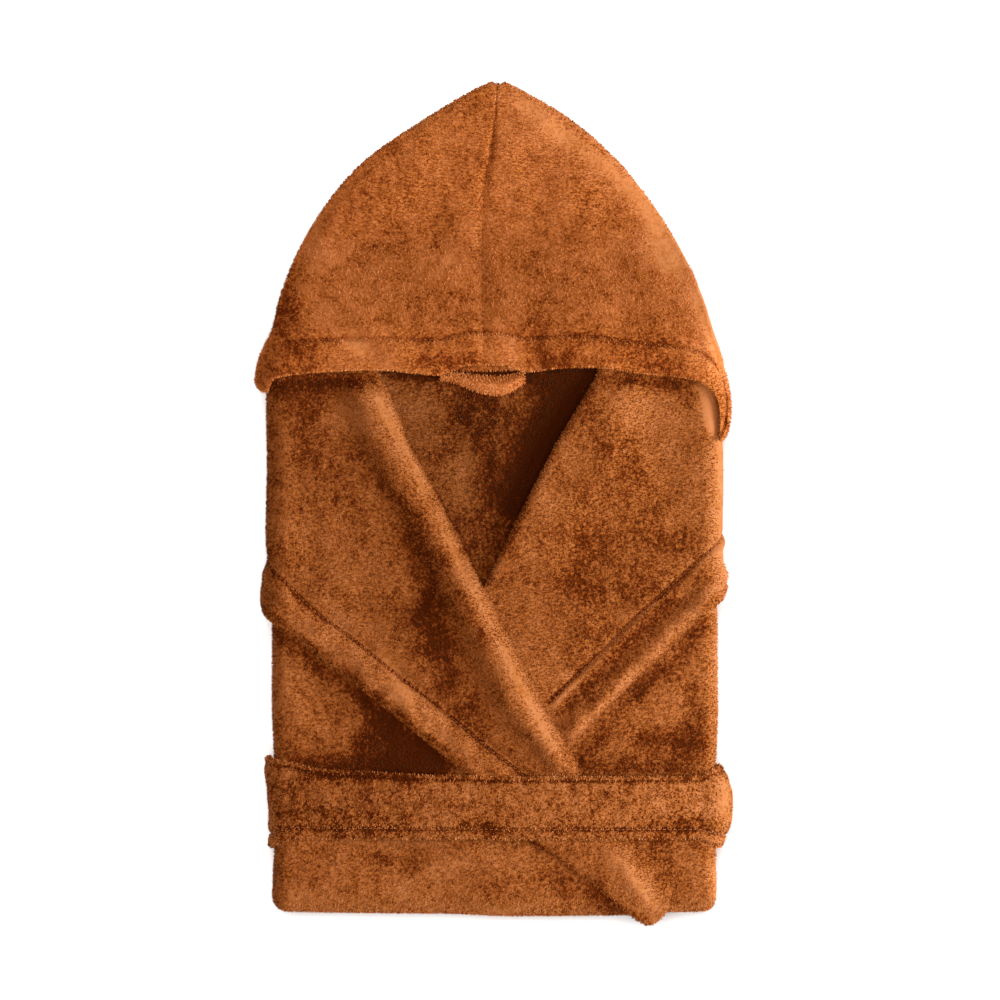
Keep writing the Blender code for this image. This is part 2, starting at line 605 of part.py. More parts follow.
def build_hood(name, outline, mouth, under, tint, collection):
    """One half of the hood: an upper leaf from the centre seam to the side fold, and a lower leaf back to
    the seam. Its hem at the mouth is a second layer with a stitch line."""
    sign = math.copysign(1, outline[2].x)
    radius = (CLOTH + HOOD_GAP) / 2
    inset = radius + CLOTH / 2
    seam = [Spot(spot.x + sign * SEAT / 2, spot.y) for spot in HOOD_SEAM]
    under_seam = [Spot(seam[0].x, under[0].y), *seam[1:]]
    corner = Spot(*fold_line(outline, 0, inset)[0])
    mouth = [Spot(seam[0].x, mouth[0].y), *mouth[1:], corner]
    under = [Spot(seam[0].x, under[0].y), *under[1:], corner]
    rows = []
    for up in HOOD_ROWS:
        hem = HOOD_HEM_RISE * (1 - smooth(up, 0.105, 0.125)) - 0.9 * math.exp(-(((up - 0.118) / 0.008) ** 2))
        row = []
        for share in (0, 0.02, 0.08, 0.2, 0.32, 0.44, 0.56, 0.68, 0.79, 0.87, 0.92, 0.96, 1.0):
            x, y = patch(seam, mouth, outline, inset, share, up)
            low = upper_leaf(x, y)
            rise = hem * (1 - smooth(share, 0.86, 1.0)) - (1 - smooth(share, 0.0, 0.05))
            row.append((Vector((x, y, low + CLOTH + rise)), Vector((x, y, low))))
        middle, out = fold_line(outline, up, inset)
        high, low = row[-1][1].z + CLOTH / 2, lower_leaf(middle.x, middle.y) + CLOTH / 2
        for turn in (36, 72, 108, 144):
            lean, tip = math.sin(math.radians(turn)), math.cos(math.radians(turn))
            ring = []
            for reach in (CLOTH / 2, -CLOTH / 2):
                past = middle + out * ((radius + reach) * lean)
                ring.append(Vector((past.x, past.y, (high + low) / 2 + ((high - low) / 2 + reach) * tip)))
            row.append(tuple(ring))
        for share in (1.0, 0.95, 0.88, 0.76, 0.63, 0.52, 0.45, 0.38, 0.28, 0.14, 0.0):
            x, y = patch(under_seam, under, outline, inset, share, up)
            low = lower_leaf(x, y)
            row.append((Vector((x, y, low)), Vector((x, y, low + CLOTH))))
        rows.append(row)
    return cloth_wall(name, rows, tint, collection)


def build_hang_loop(collection):
    """A flat band sewn into the neck seam at both ends; it sags on the back."""
    rows = []
    for loop in HANG_LOOP:
        row = []
        for share in (0.0, 0.15, 0.5, 0.85, 1.0):
            y = loop.bottom + (loop.top - loop.bottom) * share
            rise = -CLOTH + loop.rise * math.sin(math.pi * share)
            row.append((on_bundle(loop.x, y, rise + 2.6), on_bundle(loop.x, y, rise)))
        rows.append(row)
    return cloth_wall("hang_loop", rows, 1.08, collection)


def belt_stations():
    """Stations round the bundle for the belt's inner face: (side, x past the side edge, z, turn). A turn is
    the direction the belt faces there: 0 is up, 90 degrees is out at the right, 270 is out at the left."""
    radius = SIDE_RADIUS + 0.6
    turns = (0, 22, 45, 68, 90)
    stations = []
    for share in spread(-1, 1, 17)[1:-1]:
        x = share * (LEFT_EDGE if share < 0 else RIGHT_EDGE)
        across = (x - 20) / (LEFT_EDGE + 20 if x < 20 else RIGHT_EDGE - 20)
        stations.append((0, x, TOP_Z + 0.6 + BELT_ARCH * (1 - abs(across) ** 2.6), 0))
    for turn in turns:
        angle = math.radians(turn)
        stations.append((1, radius * math.sin(angle), TOP_Z - SIDE_RADIUS + radius * math.cos(angle), turn))
    for turn in turns[::-1]:
        angle = math.radians(turn)
        z = BELT_CLOTH + radius * (1 - math.cos(angle))
        stations.append((1, radius * math.sin(angle), z, 180 - turn))
    for share in spread(0.8, -0.8, 3):
        stations.append((0, share * LEFT_EDGE, BELT_CLOTH, 180))
    left = [(-1, -x, z, 360 - turn) for side, x, z, turn in stations if side == 1]
    return stations + left[::-1]


def belt_point(station, share, out):
    """A point of the belt: share of its width from the lower edge, and how far it is from the inner face."""
    side, x, z, turn = station
    facing = Vector((math.sin(math.radians(turn)), 0, math.cos(math.radians(turn))))
    flare = abs(facing.x)
    slope = smooth(-x, 0, 190) * 6.5 if side == 0 and turn == 0 else 6.5 * (side < 0)
    top = BELT_Y + BELT_WIDTH / 2 + max(BELT_FLARE * flare, slope * (turn != 180))
    bottom = BELT_Y - BELT_WIDTH / 2 - 6.0 * flare
    y = bottom + (top - bottom) * share
    if side:
        x += side * side_edge(side, y)
    loose = 9.0 * (1 - (2 * share - 1) ** 2) if side > 0 else 2.5 * share**2
    point = Vector((x, y, z)) + facing * (out + loose * flare)
    point.z = max(point.z, 0.0)
    return point


def build_belt(collection):
    """The belt's stretch round the bundle, closed on itself; it stands off loosely at the right. Its outer
    face is thinner at both edges and in the groove of the stitch line."""
    bm = bmesh.new()
    rings = []
    for station in belt_stations():
        under = station[3] == 180
        face = [(share, BELT_CLOTH * (1.0 if under else thick)) for share, thick in BELT_FACE]
        ring = [belt_point(station, share, out) for share, out in face]
        ring += [belt_point(station, share, 0.0) for share in (1.0, 0.75, 0.5, 0.25, 0.0)]
        rings.append([bm.verts.new(point * MM) for point in ring])
    for first, second in zip(rings, rings[1:] + rings[:1]):
        strip(bm, first, second, closed=True)
    return new_piece("belt", bm, 1.0, collection)


def build_belt_tail(collection):
    """The belt's free end: from under the belt down over the skirt fold, creased lengthwise."""
    rows = []
    for tail in BELT_TAIL:
        row = []
        for share in (0.0, 0.06, 0.24, 0.42, 0.58, 0.76, 0.94, 1.0):
            x = tail.left + (tail.right - tail.left) * share
            at = max(tail.y, -314)
            lapped = LAP_RISE * (1 - smooth(x - column(LAP_EDGE, "across", at), 3, 20))
            floor = on_bundle(x, at, 0).z + lapped + SEAT + 0.8 - 0.45 * (at - tail.y)
            crest = ridge_rise(TAIL_CREST, x, tail.y) * smooth(-tail.y, 273, 290)
            rim = 1.2 * (1 - smooth(min(share, 1 - share), 0.0, 0.05))
            low = floor + crest
            row.append((Vector((x, tail.y, low + BELT_CLOTH - rim)), Vector((x, tail.y, low))))
        rows.append(row)
    return cloth_wall("belt_tail", rows, 1.04, collection)


def clear_scene():
    for piece in list(bpy.data.objects):
        bpy.data.objects.remove(piece, do_unlink=True)


def main():
    clear_scene()
    robe = bpy.data.collections.new("hooded_bathrobe")
    bpy.context.scene.collection.children.link(robe)
    build_folded_layers(robe)
    build_back(robe)
    build_front("front_right", 1, right_front_edge, lambda a, along: -right_sink(a, along), 1.0, robe)
    build_front("front_left", -1, left_front_edge, left_rise, 0.97, robe)
    build_collars(robe)
    build_hood("hood_left", HOOD_LEFT, MOUTH_LEFT, UNDER_LEFT, 1.0, robe)
    build_hood("hood_right", HOOD_RIGHT, MOUTH_RIGHT, UNDER_RIGHT, 1.03, robe)
    build_hang_loop(robe)
    build_belt(robe)
    build_belt_tail(robe)


main()
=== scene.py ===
"""Looks of the hooded terry bathrobe, folded flat for a shelf.

Each piece is woven again on the form of its CAD solid, with closer rows, its creases and its stitch lines. Terry
pile then stands on all the cloth that shows. Sizes in the tables are millimetres in the robe's own frame: x
across, y towards the hood, z up from the shelf. A place on the cloth is (across, along): how far across the
front, and how far along it, measured round the folds, as if the front were still flat.
"""

import math
from collections import namedtuple

import bmesh
import bpy
from bpy.props import FloatProperty, FloatVectorProperty, IntProperty, PointerProperty
from bpy.types import Operator, Panel, PropertyGroup
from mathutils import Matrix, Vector, noise
from mathutils.bvhtree import BVHTree
from mathutils.kdtree import KDTree


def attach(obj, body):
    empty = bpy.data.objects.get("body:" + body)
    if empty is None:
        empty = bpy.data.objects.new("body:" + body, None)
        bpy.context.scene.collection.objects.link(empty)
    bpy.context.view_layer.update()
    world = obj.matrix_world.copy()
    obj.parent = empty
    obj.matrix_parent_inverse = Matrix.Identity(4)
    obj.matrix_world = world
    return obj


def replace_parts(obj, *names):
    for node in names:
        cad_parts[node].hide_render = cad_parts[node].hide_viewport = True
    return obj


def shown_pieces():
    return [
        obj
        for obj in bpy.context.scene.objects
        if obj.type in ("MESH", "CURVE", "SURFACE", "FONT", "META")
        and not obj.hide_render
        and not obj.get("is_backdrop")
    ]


bl_info = {
    "name": "Folded hooded bathrobe",
    "version": (1, 0, 0),
    "blender": (4, 5, 0),
    "location": "3D View > Sidebar > Robe",
    "description": "Weaves, stitches and lights a folded hooded terry bathrobe",
    "category": "Object",
}

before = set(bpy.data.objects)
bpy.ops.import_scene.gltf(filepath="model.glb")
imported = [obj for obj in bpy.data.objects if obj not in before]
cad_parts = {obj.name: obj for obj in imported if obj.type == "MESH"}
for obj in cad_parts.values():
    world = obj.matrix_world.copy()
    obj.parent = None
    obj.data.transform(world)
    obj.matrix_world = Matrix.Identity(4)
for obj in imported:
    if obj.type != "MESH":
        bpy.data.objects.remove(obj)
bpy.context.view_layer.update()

MM = 0.001
MIDDLE = Vector((0.1, -0.9, 0.0))  # of the whole outline on the shelf, which is the part's origin

# Cloth
CLOTH = 3.0  # one layer of terry with its pile
SEAT = 0.3  # gap between pieces that touch
LOOSE = 0.7  # a turned-back collar doesn't press on its front
SIDE_LOOSE = 0.9  # and less still round the side fold
LEFT_HEM = 31.0  # collar hems, edge to stitch line
RIGHT_HEM = 37.0
HEM_RISE = 3.2  # what the second layer of a hem adds, puffed up a little
STITCH_DIP = 1.1
LIP_WIDTH = 12.0  # what the collar's roll turns under, up to its seam with the front

# The folded bundle
FOLD_RADIUS = 25.0  # of the big fold at the skirt, half the height of the bundle
FOLD_Y = -303.0  # where the front starts to turn round that fold
FOLD_BOW = 1.6  # how far the middle of the fold stands proud of its corners
TOP_Z = 2 * FOLD_RADIUS
SIDE_RADIUS = 12.0  # of the folded edges of the upper and the lower stack
LEFT_EDGE = 164.0  # from the middle to where the side fold starts
RIGHT_EDGE = 167.2
NECK_Y = 115.0  # the upper stack's end under the hood
LOWER_NECK_Y = 122.0
SEAM_Y = 104.5  # neck seam of the back
CROWN = 5.0  # how much fuller the bundle is in the middle
WAIST_DEPTH = 3.0  # how far the belt presses in
PINCH = 3.0  # how far the belt pulls the sides in
LAP_RISE = CLOTH + 0.6  # the front that laps over rises over the other
COLLAR_RISE = CLOTH + LOOSE + SEAT + 0.4  # and over the other one's collar
FRONT_TURN = math.radians(140)  # how far round a side fold the fronts reach
COLLAR_TURN = math.radians(128)
CORE_TURN = math.radians(150)
FRONT_END = math.radians(165)  # and how far round the skirt fold
CORE_DROP = 2 * (CLOTH + SEAT)  # two layers lie on the hidden ones

# Belt
BELT_Y = -246.4
BELT_WIDTH = 52.0
BELT_CLOTH = 4.5  # a sewn tube, two thin layers
BELT_FLARE = 9.0  # how much its upper edge rises at the sides
CHANNEL_DEPTH = BELT_CLOTH + 0.7  # in the underside, so the belt lies flush
CHANNEL_HALF = BELT_WIDTH / 2 + BELT_FLARE + 1.5
CHANNEL_BELOW = BELT_WIDTH / 2 + 5.5  # the same on the skirt's side, where the belt flares less
BELT_CLEAR = 0.6  # between the belt and the fronts that it goes round
BELT_ARCH = 14.6  # how much higher it is in the middle, over the laps and rolls

# Across the belt's outer face: share of the width from the lower edge, and share of the thickness
BELT_FACE = ((0.0, 0.8), (0.03, 1.0), (0.12, 1.0), (0.15, 0.78), (0.18, 1.0), (0.5, 1.05), (0.9, 1.0),
             (0.94, 0.86), (0.97, 1.0), (1.0, 0.8))
BELT_LINES = 0.15, 0.94  # shares of its width at which it is stitched

# Rounded neck end of the two stacks: share of the way down, and reach towards the hood
NECK_LOBES = ((0.05, 5.0), (0.16, 8.0), (0.28, 5.0), (0.36, -3.0), (0.45, 5.0), (0.68, 9.5), (0.92, 5.5))

# Rows of the fronts, along
TOP_ROWS = (115, 108, 101, 78, 55, 32, 10, -12, -28, -42, -56, -66, -76, -88, -100, -116, -132, -148, -164,
            -181, -198, -210, -222, -236, -251)
SKIRT_ROWS = (-264, -280, -303)
FOLD_TURNS = (22, 45, 68, 90, 112, 136)  # degrees round the skirt fold, then FRONT_END


def table(names, *rows):
    """A table of rows whose values have these names."""
    row = namedtuple("Row", names)
    return tuple(row(*values) for values in rows)


# Free edges, across at each place along. Roll: the soft turned edge at the V. Hem: the collar's outer edge,
# which goes on round the side fold.
LEFT_EDGES = table(
    "along roll hem",
    (137, -103, None), (101, -91, None), (73, -78, None), (49, -69.5, None), (33, -61, None), (-3, -42, None),
    (-31, -27.5, None), (-60, -13.5, -212), (-88, 1.5, -184), (-108, 11.8, -157), (-136, 26, -122), (-161, 37.5, -90),
    (-181, 49.5, -65), (-197, 61, -46), (-213, 66.8, -25), (-231, 70.5, -2), (-251, 73.5, 22),
)
RIGHT_EDGES = table(
    "along roll hem",
    (137, 91, None), (101, 83, None), (77, 69.6, None), (45, 50.4, None), (13, 34, None), (-19, 17.6, None),
    (-47, 4, 214), (-72, -7.5, 187), (-96, -16, 160.5), (-119, -26, 138), (-149, -40, 106), (-181, -54, 74),
    (-206, -65, 52),
)
CROSSING_Y = -72.0  # point of the V, where the left roll starts to lap over the right
TUCK = 20.0  # how far the right collar goes on under the left roll
LAP = 86.0  # and the right front

# Front edge of the lapping front below the belt, hidden by the belt's end
LAP_START = -251.0
LAP_EDGE = table(
    "along across",
    (-251, 73.5), (-280, 92), (-303, 106), (-330, 118), (-400, 121),
)

# Hood, by x and y: outlines from corner to point, and its mouth from seam to corner
HOOD_SEAM = ((-7.2, 108.4), (-7.2, 128), (-8.8, 157), (-8.8, 201), (-6.4, 253), (0, 293), (4, 338))
HOOD_LEFT = (
    (-181, 86.8), (-186.6, 88.6), (-190, 93.5), (-190.4, 100), (-189, 108), (-184.8, 121), (-176.8, 137),
    (-171.2, 161), (-156, 201), (-132, 241), (-103.2, 273), (-57.6, 305), (-17.6, 329), (2.4, 338.6),
)
HOOD_RIGHT = (
    (183.6, 48), (187.4, 54), (189.8, 65), (190.6, 78), (188.6, 92), (185.6, 105), (181.6, 121), (176, 137),
    (168.8, 161), (151.2, 201), (126.4, 241), (100, 273), (64, 305), (24.8, 329), (5.6, 338.6),
)
MOUTH_LEFT = (
    (-7.2, 108.4), (-26, 107), (-42, 100.5), (-60, 101.5), (-92, 104.4), (-138, 102.8), (-162, 101), (-174.5, 99),
    (-179, 94.5),
)
MOUTH_RIGHT = (
    (-7.2, 108.4), (8, 108), (26, 103), (54, 106), (84, 106.6), (118, 101.8), (150, 98.4), (165.6, 94.8),
    (175.2, 87.6), (180, 79), (182, 66),
)
UNDER_LEFT = ((-7.2, 104.9), (-92, 106.4), (-150, 104.5), (-170, 102.5), (-178, 97))
UNDER_RIGHT = ((-7.2, 104.9), (90, 107.4), (140, 103), (165, 98), (176.5, 91), (181, 82), (182.6, 68))
HOOD_HEM_RISE = 2.2
HOOD_ROWS = (0, 0.012, 0.026, 0.044, 0.07, 0.104, 0.112, 0.118, 0.126, 0.15, 0.19, 0.24, 0.29, 0.34, 0.4,
             0.47, 0.55, 0.64, 0.74, 0.84, 0.92, 0.97, 0.99)
HOOD_HEM = 0.118  # the row of its hem's stitch line
HOOD_GAP = 0.9  # between the two leaves of the flat hood
HOOD_LIFT = 2.4  # how far the hood stands off the collars that carry it
NECK_SAG = 3.6  # how much its upper leaf sags over the neck
DROOP = 13.0  # of the hood's side folds past the bundle's edge

# How the hood falls from the bundle to the shelf: share of its height on the bundle
HOOD_DRAPE = table(
    "y share",
    (120, 1.0), (131, 0.965), (142, 0.885), (157, 0.72), (176, 0.48), (194, 0.26), (210, 0.1), (226, 0.02),
    (240, 0.0), (300, 0.0),
)

# Soft ridges and creases here and below: from x, y to x, y, half width and rise. These are in the hood, where
# the collars' rolls go on beneath it
HOOD_RIDGES = ((-66, 108, -122, 160, 11, 2.6), (82, 107, 127, 138, 9, 2.2))

# Hanging loop, and the belt's free end
HANG_LOOP = table(
    "x top bottom rise",
    (-42, 103.4, 97.5, 0.2), (-30, 102.6, 95, 0.6), (-18, 101.4, 90, 1.2), (-7, 100.4, 86.4, 1.6),
    (5, 100, 85.6, 1.6), (15, 101.2, 88, 1.2), (21, 103, 92, 0.6), (25, 104, 94.5, 0.2),
)
BELT_TAIL = table(
    "y left right",
    (-256, 10, 146.5), (-265, 20, 146), (-274, 33, 145.6), (-286, 54, 144.8), (-298, 70, 143.2), (-310, 85.5, 141.8),
    (-320, 97, 140.8), (-329, 107, 138), (-335, 115.5, 133), (-338.6, 122, 128),
)
TAIL_CREST = (88, -262, 134, -324, 13, 3.4)

# The finer weave on those forms
WEAVE = 5.0  # between rows of the woven surface
SIDE_WANDER = 0.7
NECK_TURN = 7.5  # seam allowance of the back, under the hood
SIDE_CREASES = 1.75, 1.15  # how far round the side folds the two creases between layers run, in radians
LAYER_DIP = 1.1  # of the creases between the folded layers at the sides and the neck end
LOOP_LIFT = 5.0
HEM_GROOVE, SEAM_GROOVE = 2.4, 0.9  # depth of the hood's lines at its hem and its centre seam
CORNER_THIN = 2.2  # how much thinner the hem is at the hood's right corner
CORNER_SETTLE = 3.5  # how much lower the hood's right corner settles beside the bundle
RIM_TRIM, MOUTH_TRIM = 3.0, 1.6  # that the pile takes up again, at the belt's lower edge and at the hood's mouth
BELT_SLACK_LEFT, BELT_SLACK_RIGHT = 2.5, 9.0  # how far it stands off at the side folds
LOWER_FLARE = 4.0  # how much its lower edge falls there
BELT_SLOPE = 6.5  # how much the belt's upper edge rises towards the left
BELT_CORNER = 7.0  # and how much more at the left corner
BELT_LEAN = 5.0  # how far the belt's lower edge lies down on the skirt
LEFT_CREST, RIGHT_CREST = 0.66, 1.0  # height of a roll where it has just turned over, as a share of its crest
LEFT_REACH, RIGHT_REACH = 42.0, 80.0  # from a roll's edge to where its collar lies flat
LEFT_LOFT, RIGHT_LOFT = 12.0, 6.0  # how high the rolls stand
LEFT_PUFF, RIGHT_PUFF = 1.45, 1.35  # how far the collars' hems puff up, as a share of HEM_RISE
LIP_RISE = 1.8  # of the cloth beside a stitch line

# Soft creases: troughs have a negative rise. On the whole bundle first, by place on the cloth
DRAPE = (
    (-66, -36, -30, -112, 15, -2.6), (-168, 20, -140, -46, 16, -1.4), (-118, 62, -92, 20, 18, 1.2),
    (92, 24, 128, -12, 16, 1.2), (60, -46, 96, -92, 12, -1.3), (128, 60, 140, 10, 14, -1.1),
    (-150, -150, -104, -190, 16, -1.6), (96, -172, 150, -150, 15, 1.2), (-108, -286, -66, -291, 6, -1.3),
    (-20, -288, 14, -284, 8, -0.9), (-150, -292, -120, -300, 12, 0.9),
)
BACK_CREASES = ((-34, 84, -20, 10, 8, -0.9), (30, 70, 16, 6, 10, -1.0), (-4, 40, 2, -20, 6, -0.6))
COLLAR_LEFT_CREASES = (
    (-146, -44, -118, -74, 9, 0.9), (-92, -22, -70, -62, 12, 0.8), (-60, -150, -40, -168, 7, 0.7),
)
COLLAR_RIGHT_CREASES = (
    (84, -20, 60, -50, 10, 0.9), (120, 40, 100, 4, 12, 0.9), (64, -112, 88, -90, 7, 0.7),
)
HOOD_CREASES = (
    (-90, 146, -84, 130, 7, -1.6), (-64, 124, -56, 110, 6, -1.8), (38, 132, 36, 108, 5, -1.8),
    (104, 146, 122, 138, 8, -1.8), (136, 160, 144, 150, 7, -1.3), (-150, 176, -128, 216, 16, 2.0),
    (-96, 232, -60, 268, 16, 2.0), (-40, 170, -28, 214, 14, 1.6), (60, 240, 84, 214, 18, 2.0),
    (120, 196, 140, 160, 14, 2.2), (40, 180, 60, 158, 12, 1.5), (14, 286, 24, 240, 10, 1.2),
    (-118, 300, -96, 262, 10, 0.8), (-160, 132, -140, 122, 9, 1.8), (150, 130, 166, 108, 8, 1.8),
)
SEAM_BARE = 1.2  # no pile this near to a stitch line
SEAM_SHADE_REACH = 1.9  # how far from it the painted shade of the line still reaches
BARE_UNDER_HIGHLIGHT = 0.2, 0.3  # strokes of painted highlight from which no pile stands, so the cloth shows smooth: it starts to thin, and is gone
PILE_COVER = 14.0  # no pile on a face that has other cloth this near in front of it

# Strokes of painted light (above 0) and painted shade (below 0), partly brushed-up and turned-away nap, placed on
# the robe as it lies: painted shadows under the hems and the hood's mouth, in the V and above the belt, and painted
# highlights along the rolls, the hems' ridges and the side folds
NAP_AND_PAINTED_LIGHT = {
    "back": (
        (66, 92, 18, 4, 24, -0.55), (-80, 104, 80, 104, 8, -0.5), (-10, 60, -10, -50, 50, -0.2),
        (-24, 26, -22, 4, 14, 0.35), (-60, 76, -54, 54, 10, 0.2), (-22, 84, -22, 66, 9, -0.3),
        (30, 92, 44, 66, 12, -0.1), (-4, 76, -6, 56, 9, -0.25), (58, 84, 36, 44, 14, -0.3),
        (-8, -30, -4, -44, 6, 0.15),
    ),
    "hang_loop": ((-34, 94, 22, 92, 14, 0.2),),
    "front_left": (
        (-156, -211, -50, -214, 9, -0.45), (-92, -182, -60, -200, 14, -0.38), (-186, -98, -128, -141, 7, -0.36),
        (-114, -152, -40, -212, 9, -0.36), (-104, -198, -50, -212, 13, -0.34), (-108, -154, -96, -164, 6, -0.2),
        (84, -314, 98, -328, 10, -0.3), (-92, -284, -66, -290, 10, -0.25), (-70, -306, -10, -284, 9, 0.18),
        (0, -284, 20, -290, 9, 0.19), (20, -302, 80, -310, 12, -0.15), (-160, -318, 20, -326, 7, 0.12),
        (-150, -270, -40, -274, 6, 0.1),
    ),
    "front_right": (
        (96, -128, 116, -146, 18, -0.25), (120, -190, 168, -194, 13, -0.34), (160, -150, 168, -168, 10, -0.2),
        (134, -156, 142, -162, 10, 0.1), (60, -212, 160, -212, 7, -0.2), (148, -284, 164, -300, 9, 0.16),
        (183, -70, 182, -205, 9, 0.3), (180, -285, 180, -325, 8, 0.3), (70, -206, 172, -96, 6, -0.25),
    ),
    "collar_left": (
        (-178, 88, -144, 74, 14, -0.2), (-174, 94, -98, 96, 8, -0.4), (-152, 72, -150, 34, 12, -0.2),
        (-58, 97, -44, 90, 6, -0.2), (-118, 84, -108, 70, 9, 0.15), (-122, 56, -80, 4, 10, -0.15),
        (-134, 20, -130, 0, 14, -0.15), (-180, 60, -178, -40, 8, -0.15), (-64, -14, -36, -150, 14, -0.26),
        (-44, -90, -10, -176, 10, -0.12), (-62, -100, -48, -120, 12, -0.08), (-24, -76, -4, -118, 7, -0.25),
        (-92, -96, -72, -155, 9, 0.2), (-26, -170, -10, -190, 9, -0.2), (-99, 96, -54, 8, 7.5, 0.3),
        (-46, -10, -2, -100, 7.5, 0.3), (6, -116, 48, -196, 8, 0.3), (-184, -85, -125, -130, 3.5, -0.3),
        (-119, -135, -26, -208, 3.5, -0.3), (-150, -98, -24, -200, 8, 0.2), (-64, -152, -44, -170, 8, 0.18),
        (-128, 68, -100, 60, 12, 0.18), (-58, -90, -50, -100, 9, -0.2), (-104, -112, -78, -134, 9, 0.14),
        (-136, -82, -118, -98, 9, 0.14),
    ),
    "collar_right": (
        (74, 88, 80, 66, 11, -0.25), (92, 98, 150, 92, 6, -0.36), (12, -30, 26, -6, 6, -0.25),
        (36, 8, 46, -8, 9, 0.19), (132, 76, 150, 30, 16, 0.2), (60, -56, 74, -70, 10, -0.2),
        (128, -26, 146, -36, 10, -0.2), (92, 50, 108, 24, 15, -0.18), (80, -36, 112, -66, 22, -0.26),
        (170, -40, 176, -76, 8, -0.15), (56, -168, 140, -82, 7.5, -0.3), (182, 92, 184, -64, 11, 0.3),
        (104, 82, 118, 68, 12, 0.15), (170, 90, 177, 62, 8, 0.45), (49, -163, 104, -103, 2, 0.5),
        (107, -100, 180, -37, 2, 0.5), (62, -190, 176, -70, 4.5, 0.26),
    ),
    "belt": (
        (-184, -250, -180, -270, 8, 0.2), (-118, -262, -90, -270, 12, -0.2), (184, -228, 185, -266, 12, 0.3),
        (60, -244, 150, -246, 16, 0.08), (-150, -219, -70, -221, 6, -0.35), (-178, -240, -110, -246, 16, -0.12),
        (-14, -256, 0, -258, 9, -0.25), (130, -258, 180, -260, 7, -0.2),
    ),
    "belt_tail": (
        (98, -284, 132, -326, 10, 0.28), (14, -262, 112, -336, 5, -0.4), (128, -270, 140, -296, 12, -0.2),
    ),
    "hood_left": (
        (-168, 150, -160, 125, 14, -0.2), (-132, 150, -108, 126, 12, 0.2), (-66, 290, -62, 272, 12, 0.14),
        (-164, 178, -168, 150, 10, -0.2), (-54, 204, -44, 190, 12, 0.18), (-120, 200, -100, 170, 16, 0.12),
        (-148, 210, -136, 196, 10, 0.14), (-13, 176, -10, 128, 8, 0.16), (-34, 206, -26, 180, 10, 0.2),
        (-28, 296, -14, 284, 9, 0.12), (-70, 111, -16, 112, 7, -0.2), (-178, 104, -150, 106, 10, -0.15),
        (-112, 126, -88, 110, 10, 0.2),
    ),
    "hood_right": (
        (40, 280, 60, 236, 14, 0.14), (4, 140, 14, 116, 10, 0.24), (14, 178, 20, 152, 9, 0.2),
        (16, 262, 24, 244, 12, 0.14), (36, 118, 56, 108, 11, -0.38), (80, 128, 140, 112, 16, -0.14),
        (112, 204, 134, 188, 14, 0.15), (166, 166, 182, 104, 15, 0.3), (26, 318, 90, 270, 16, 0.28),
        (112, 250, 150, 196, 18, 0.3), (8, 300, 16, 286, 8, 0.12), (186, 92, 188, 60, 9, -0.06),
    ),
}
# The back's inside shows in the V; its finish is tinted darker, partly its own tone and partly painted shade of that
# recess
FINISH_OF = {
    "back": "terry_inside", "hood_left": "terry_hood", "hood_right": "terry_hood", "hang_loop": "terry_hood",
    "belt": "terry_belt",
}  # all else is terry_body

# Each terry's tint, how strongly its nap varies by patches, clumps and tufts, and how deep its roots' shade is
TERRIES = {
    "terry_body": (1.0, 0.8, 0.95, 1.5), "terry_hood": (1.36, 0.8, 1.0, 1.3),
    # the inside's lower tint is partly painted shade, for the recess of the V
    "terry_belt": (1.12, 0.6, 1.7, 2.0, 0.85), "terry_inside": (0.75, 0.9, 0.95, 1.5),
}
PATCH, CLUMP, TUFT = 0.04, 0.0085, 0.0021  # size of each variation of the nap, in metres
BELT_COARSE = 1.3  # how much coarser the belt's pile is
HIDDEN_SPARSE = 1.6  # and how much further apart it stands on the hidden layers
SEAM_PAINTED_SHADE = {"hood_left": 0.25, "hood_right": 0.25, "belt": 0.45}  # how much painted shade lies in a stitch line's groove

# Stage, in metres. A light: name, place, size, share of the key light's power, colour and what it lights
VIEW_CENTRE = (0.0055, 0.0021)
ROBE_TOP = 0.05  # the height at which the picture has its stated width
FLOOR_HALF, FLOOR_DROP = 6.0, 0.0004  # the floor's half width, and how far it is below the robe
WHITE, WARM = (1.0, 1.0, 1.0), (1.0, 0.74, 0.5)
LIGHTS = (
    ("key_right", (2.0, -0.1, 1.05), 1.2, 0.72, WHITE, "robe"),
    ("soft_below", (0.8, -1.8, 0.9), 0.9, 0.14, WHITE, "robe"),
    ("soft_left", (-1.4, 0.4, 1.4), 1.4, 0.05, WARM, "robe"),
    ("soft_above", (0.5, -0.2, 2.4), 2.2, 0.42, WARM, "robe"),
    ("floor_above", (0.0, 0.2, 3.0), 3.0, 2.0, WHITE, "floor"),
)


def smooth(value, start, end):
    """An S-curve from 0 at start to 1 at end."""
    share = min(max((value - start) / (end - start), 0.0), 1.0)
    return share * share * (3 - 2 * share)


def read_table(keys, values, at):
    """The value at a place along a table, on a smooth curve through its rows and straight on past them."""
    if keys[0] > keys[-1]:
        keys, values = keys[::-1], values[::-1]
    last = len(keys) - 1
    slopes = [(values[i + 1] - values[i]) / (keys[i + 1] - keys[i]) for i in range(last)]
    if at <= keys[0]:
        return values[0] + slopes[0] * (at - keys[0])
    if at >= keys[last]:
        return values[last] + slopes[-1] * (at - keys[last])
    row = max(i for i in range(last) if keys[i] <= at)
    step = keys[row + 1] - keys[row]
    before = slopes[max(row - 1, 0)] + slopes[row]
    after = slopes[row] + slopes[min(row + 1, last - 1)]
    t = (at - keys[row]) / step
    rise = values[row + 1] - values[row]
    bend = (before / 2 * step - rise) * (1 - t) - (after / 2 * step - rise) * t
    return values[row] + rise * t + t * (1 - t) * bend


def column(rows, name, at, key="along"):
    """A named column of a table of named rows, read at a place."""
    filled = [row for row in rows if getattr(row, name) is not None]
    places, values = [getattr(row, key) for row in filled], [getattr(row, name) for row in filled]
    return read_table(places, values, at)


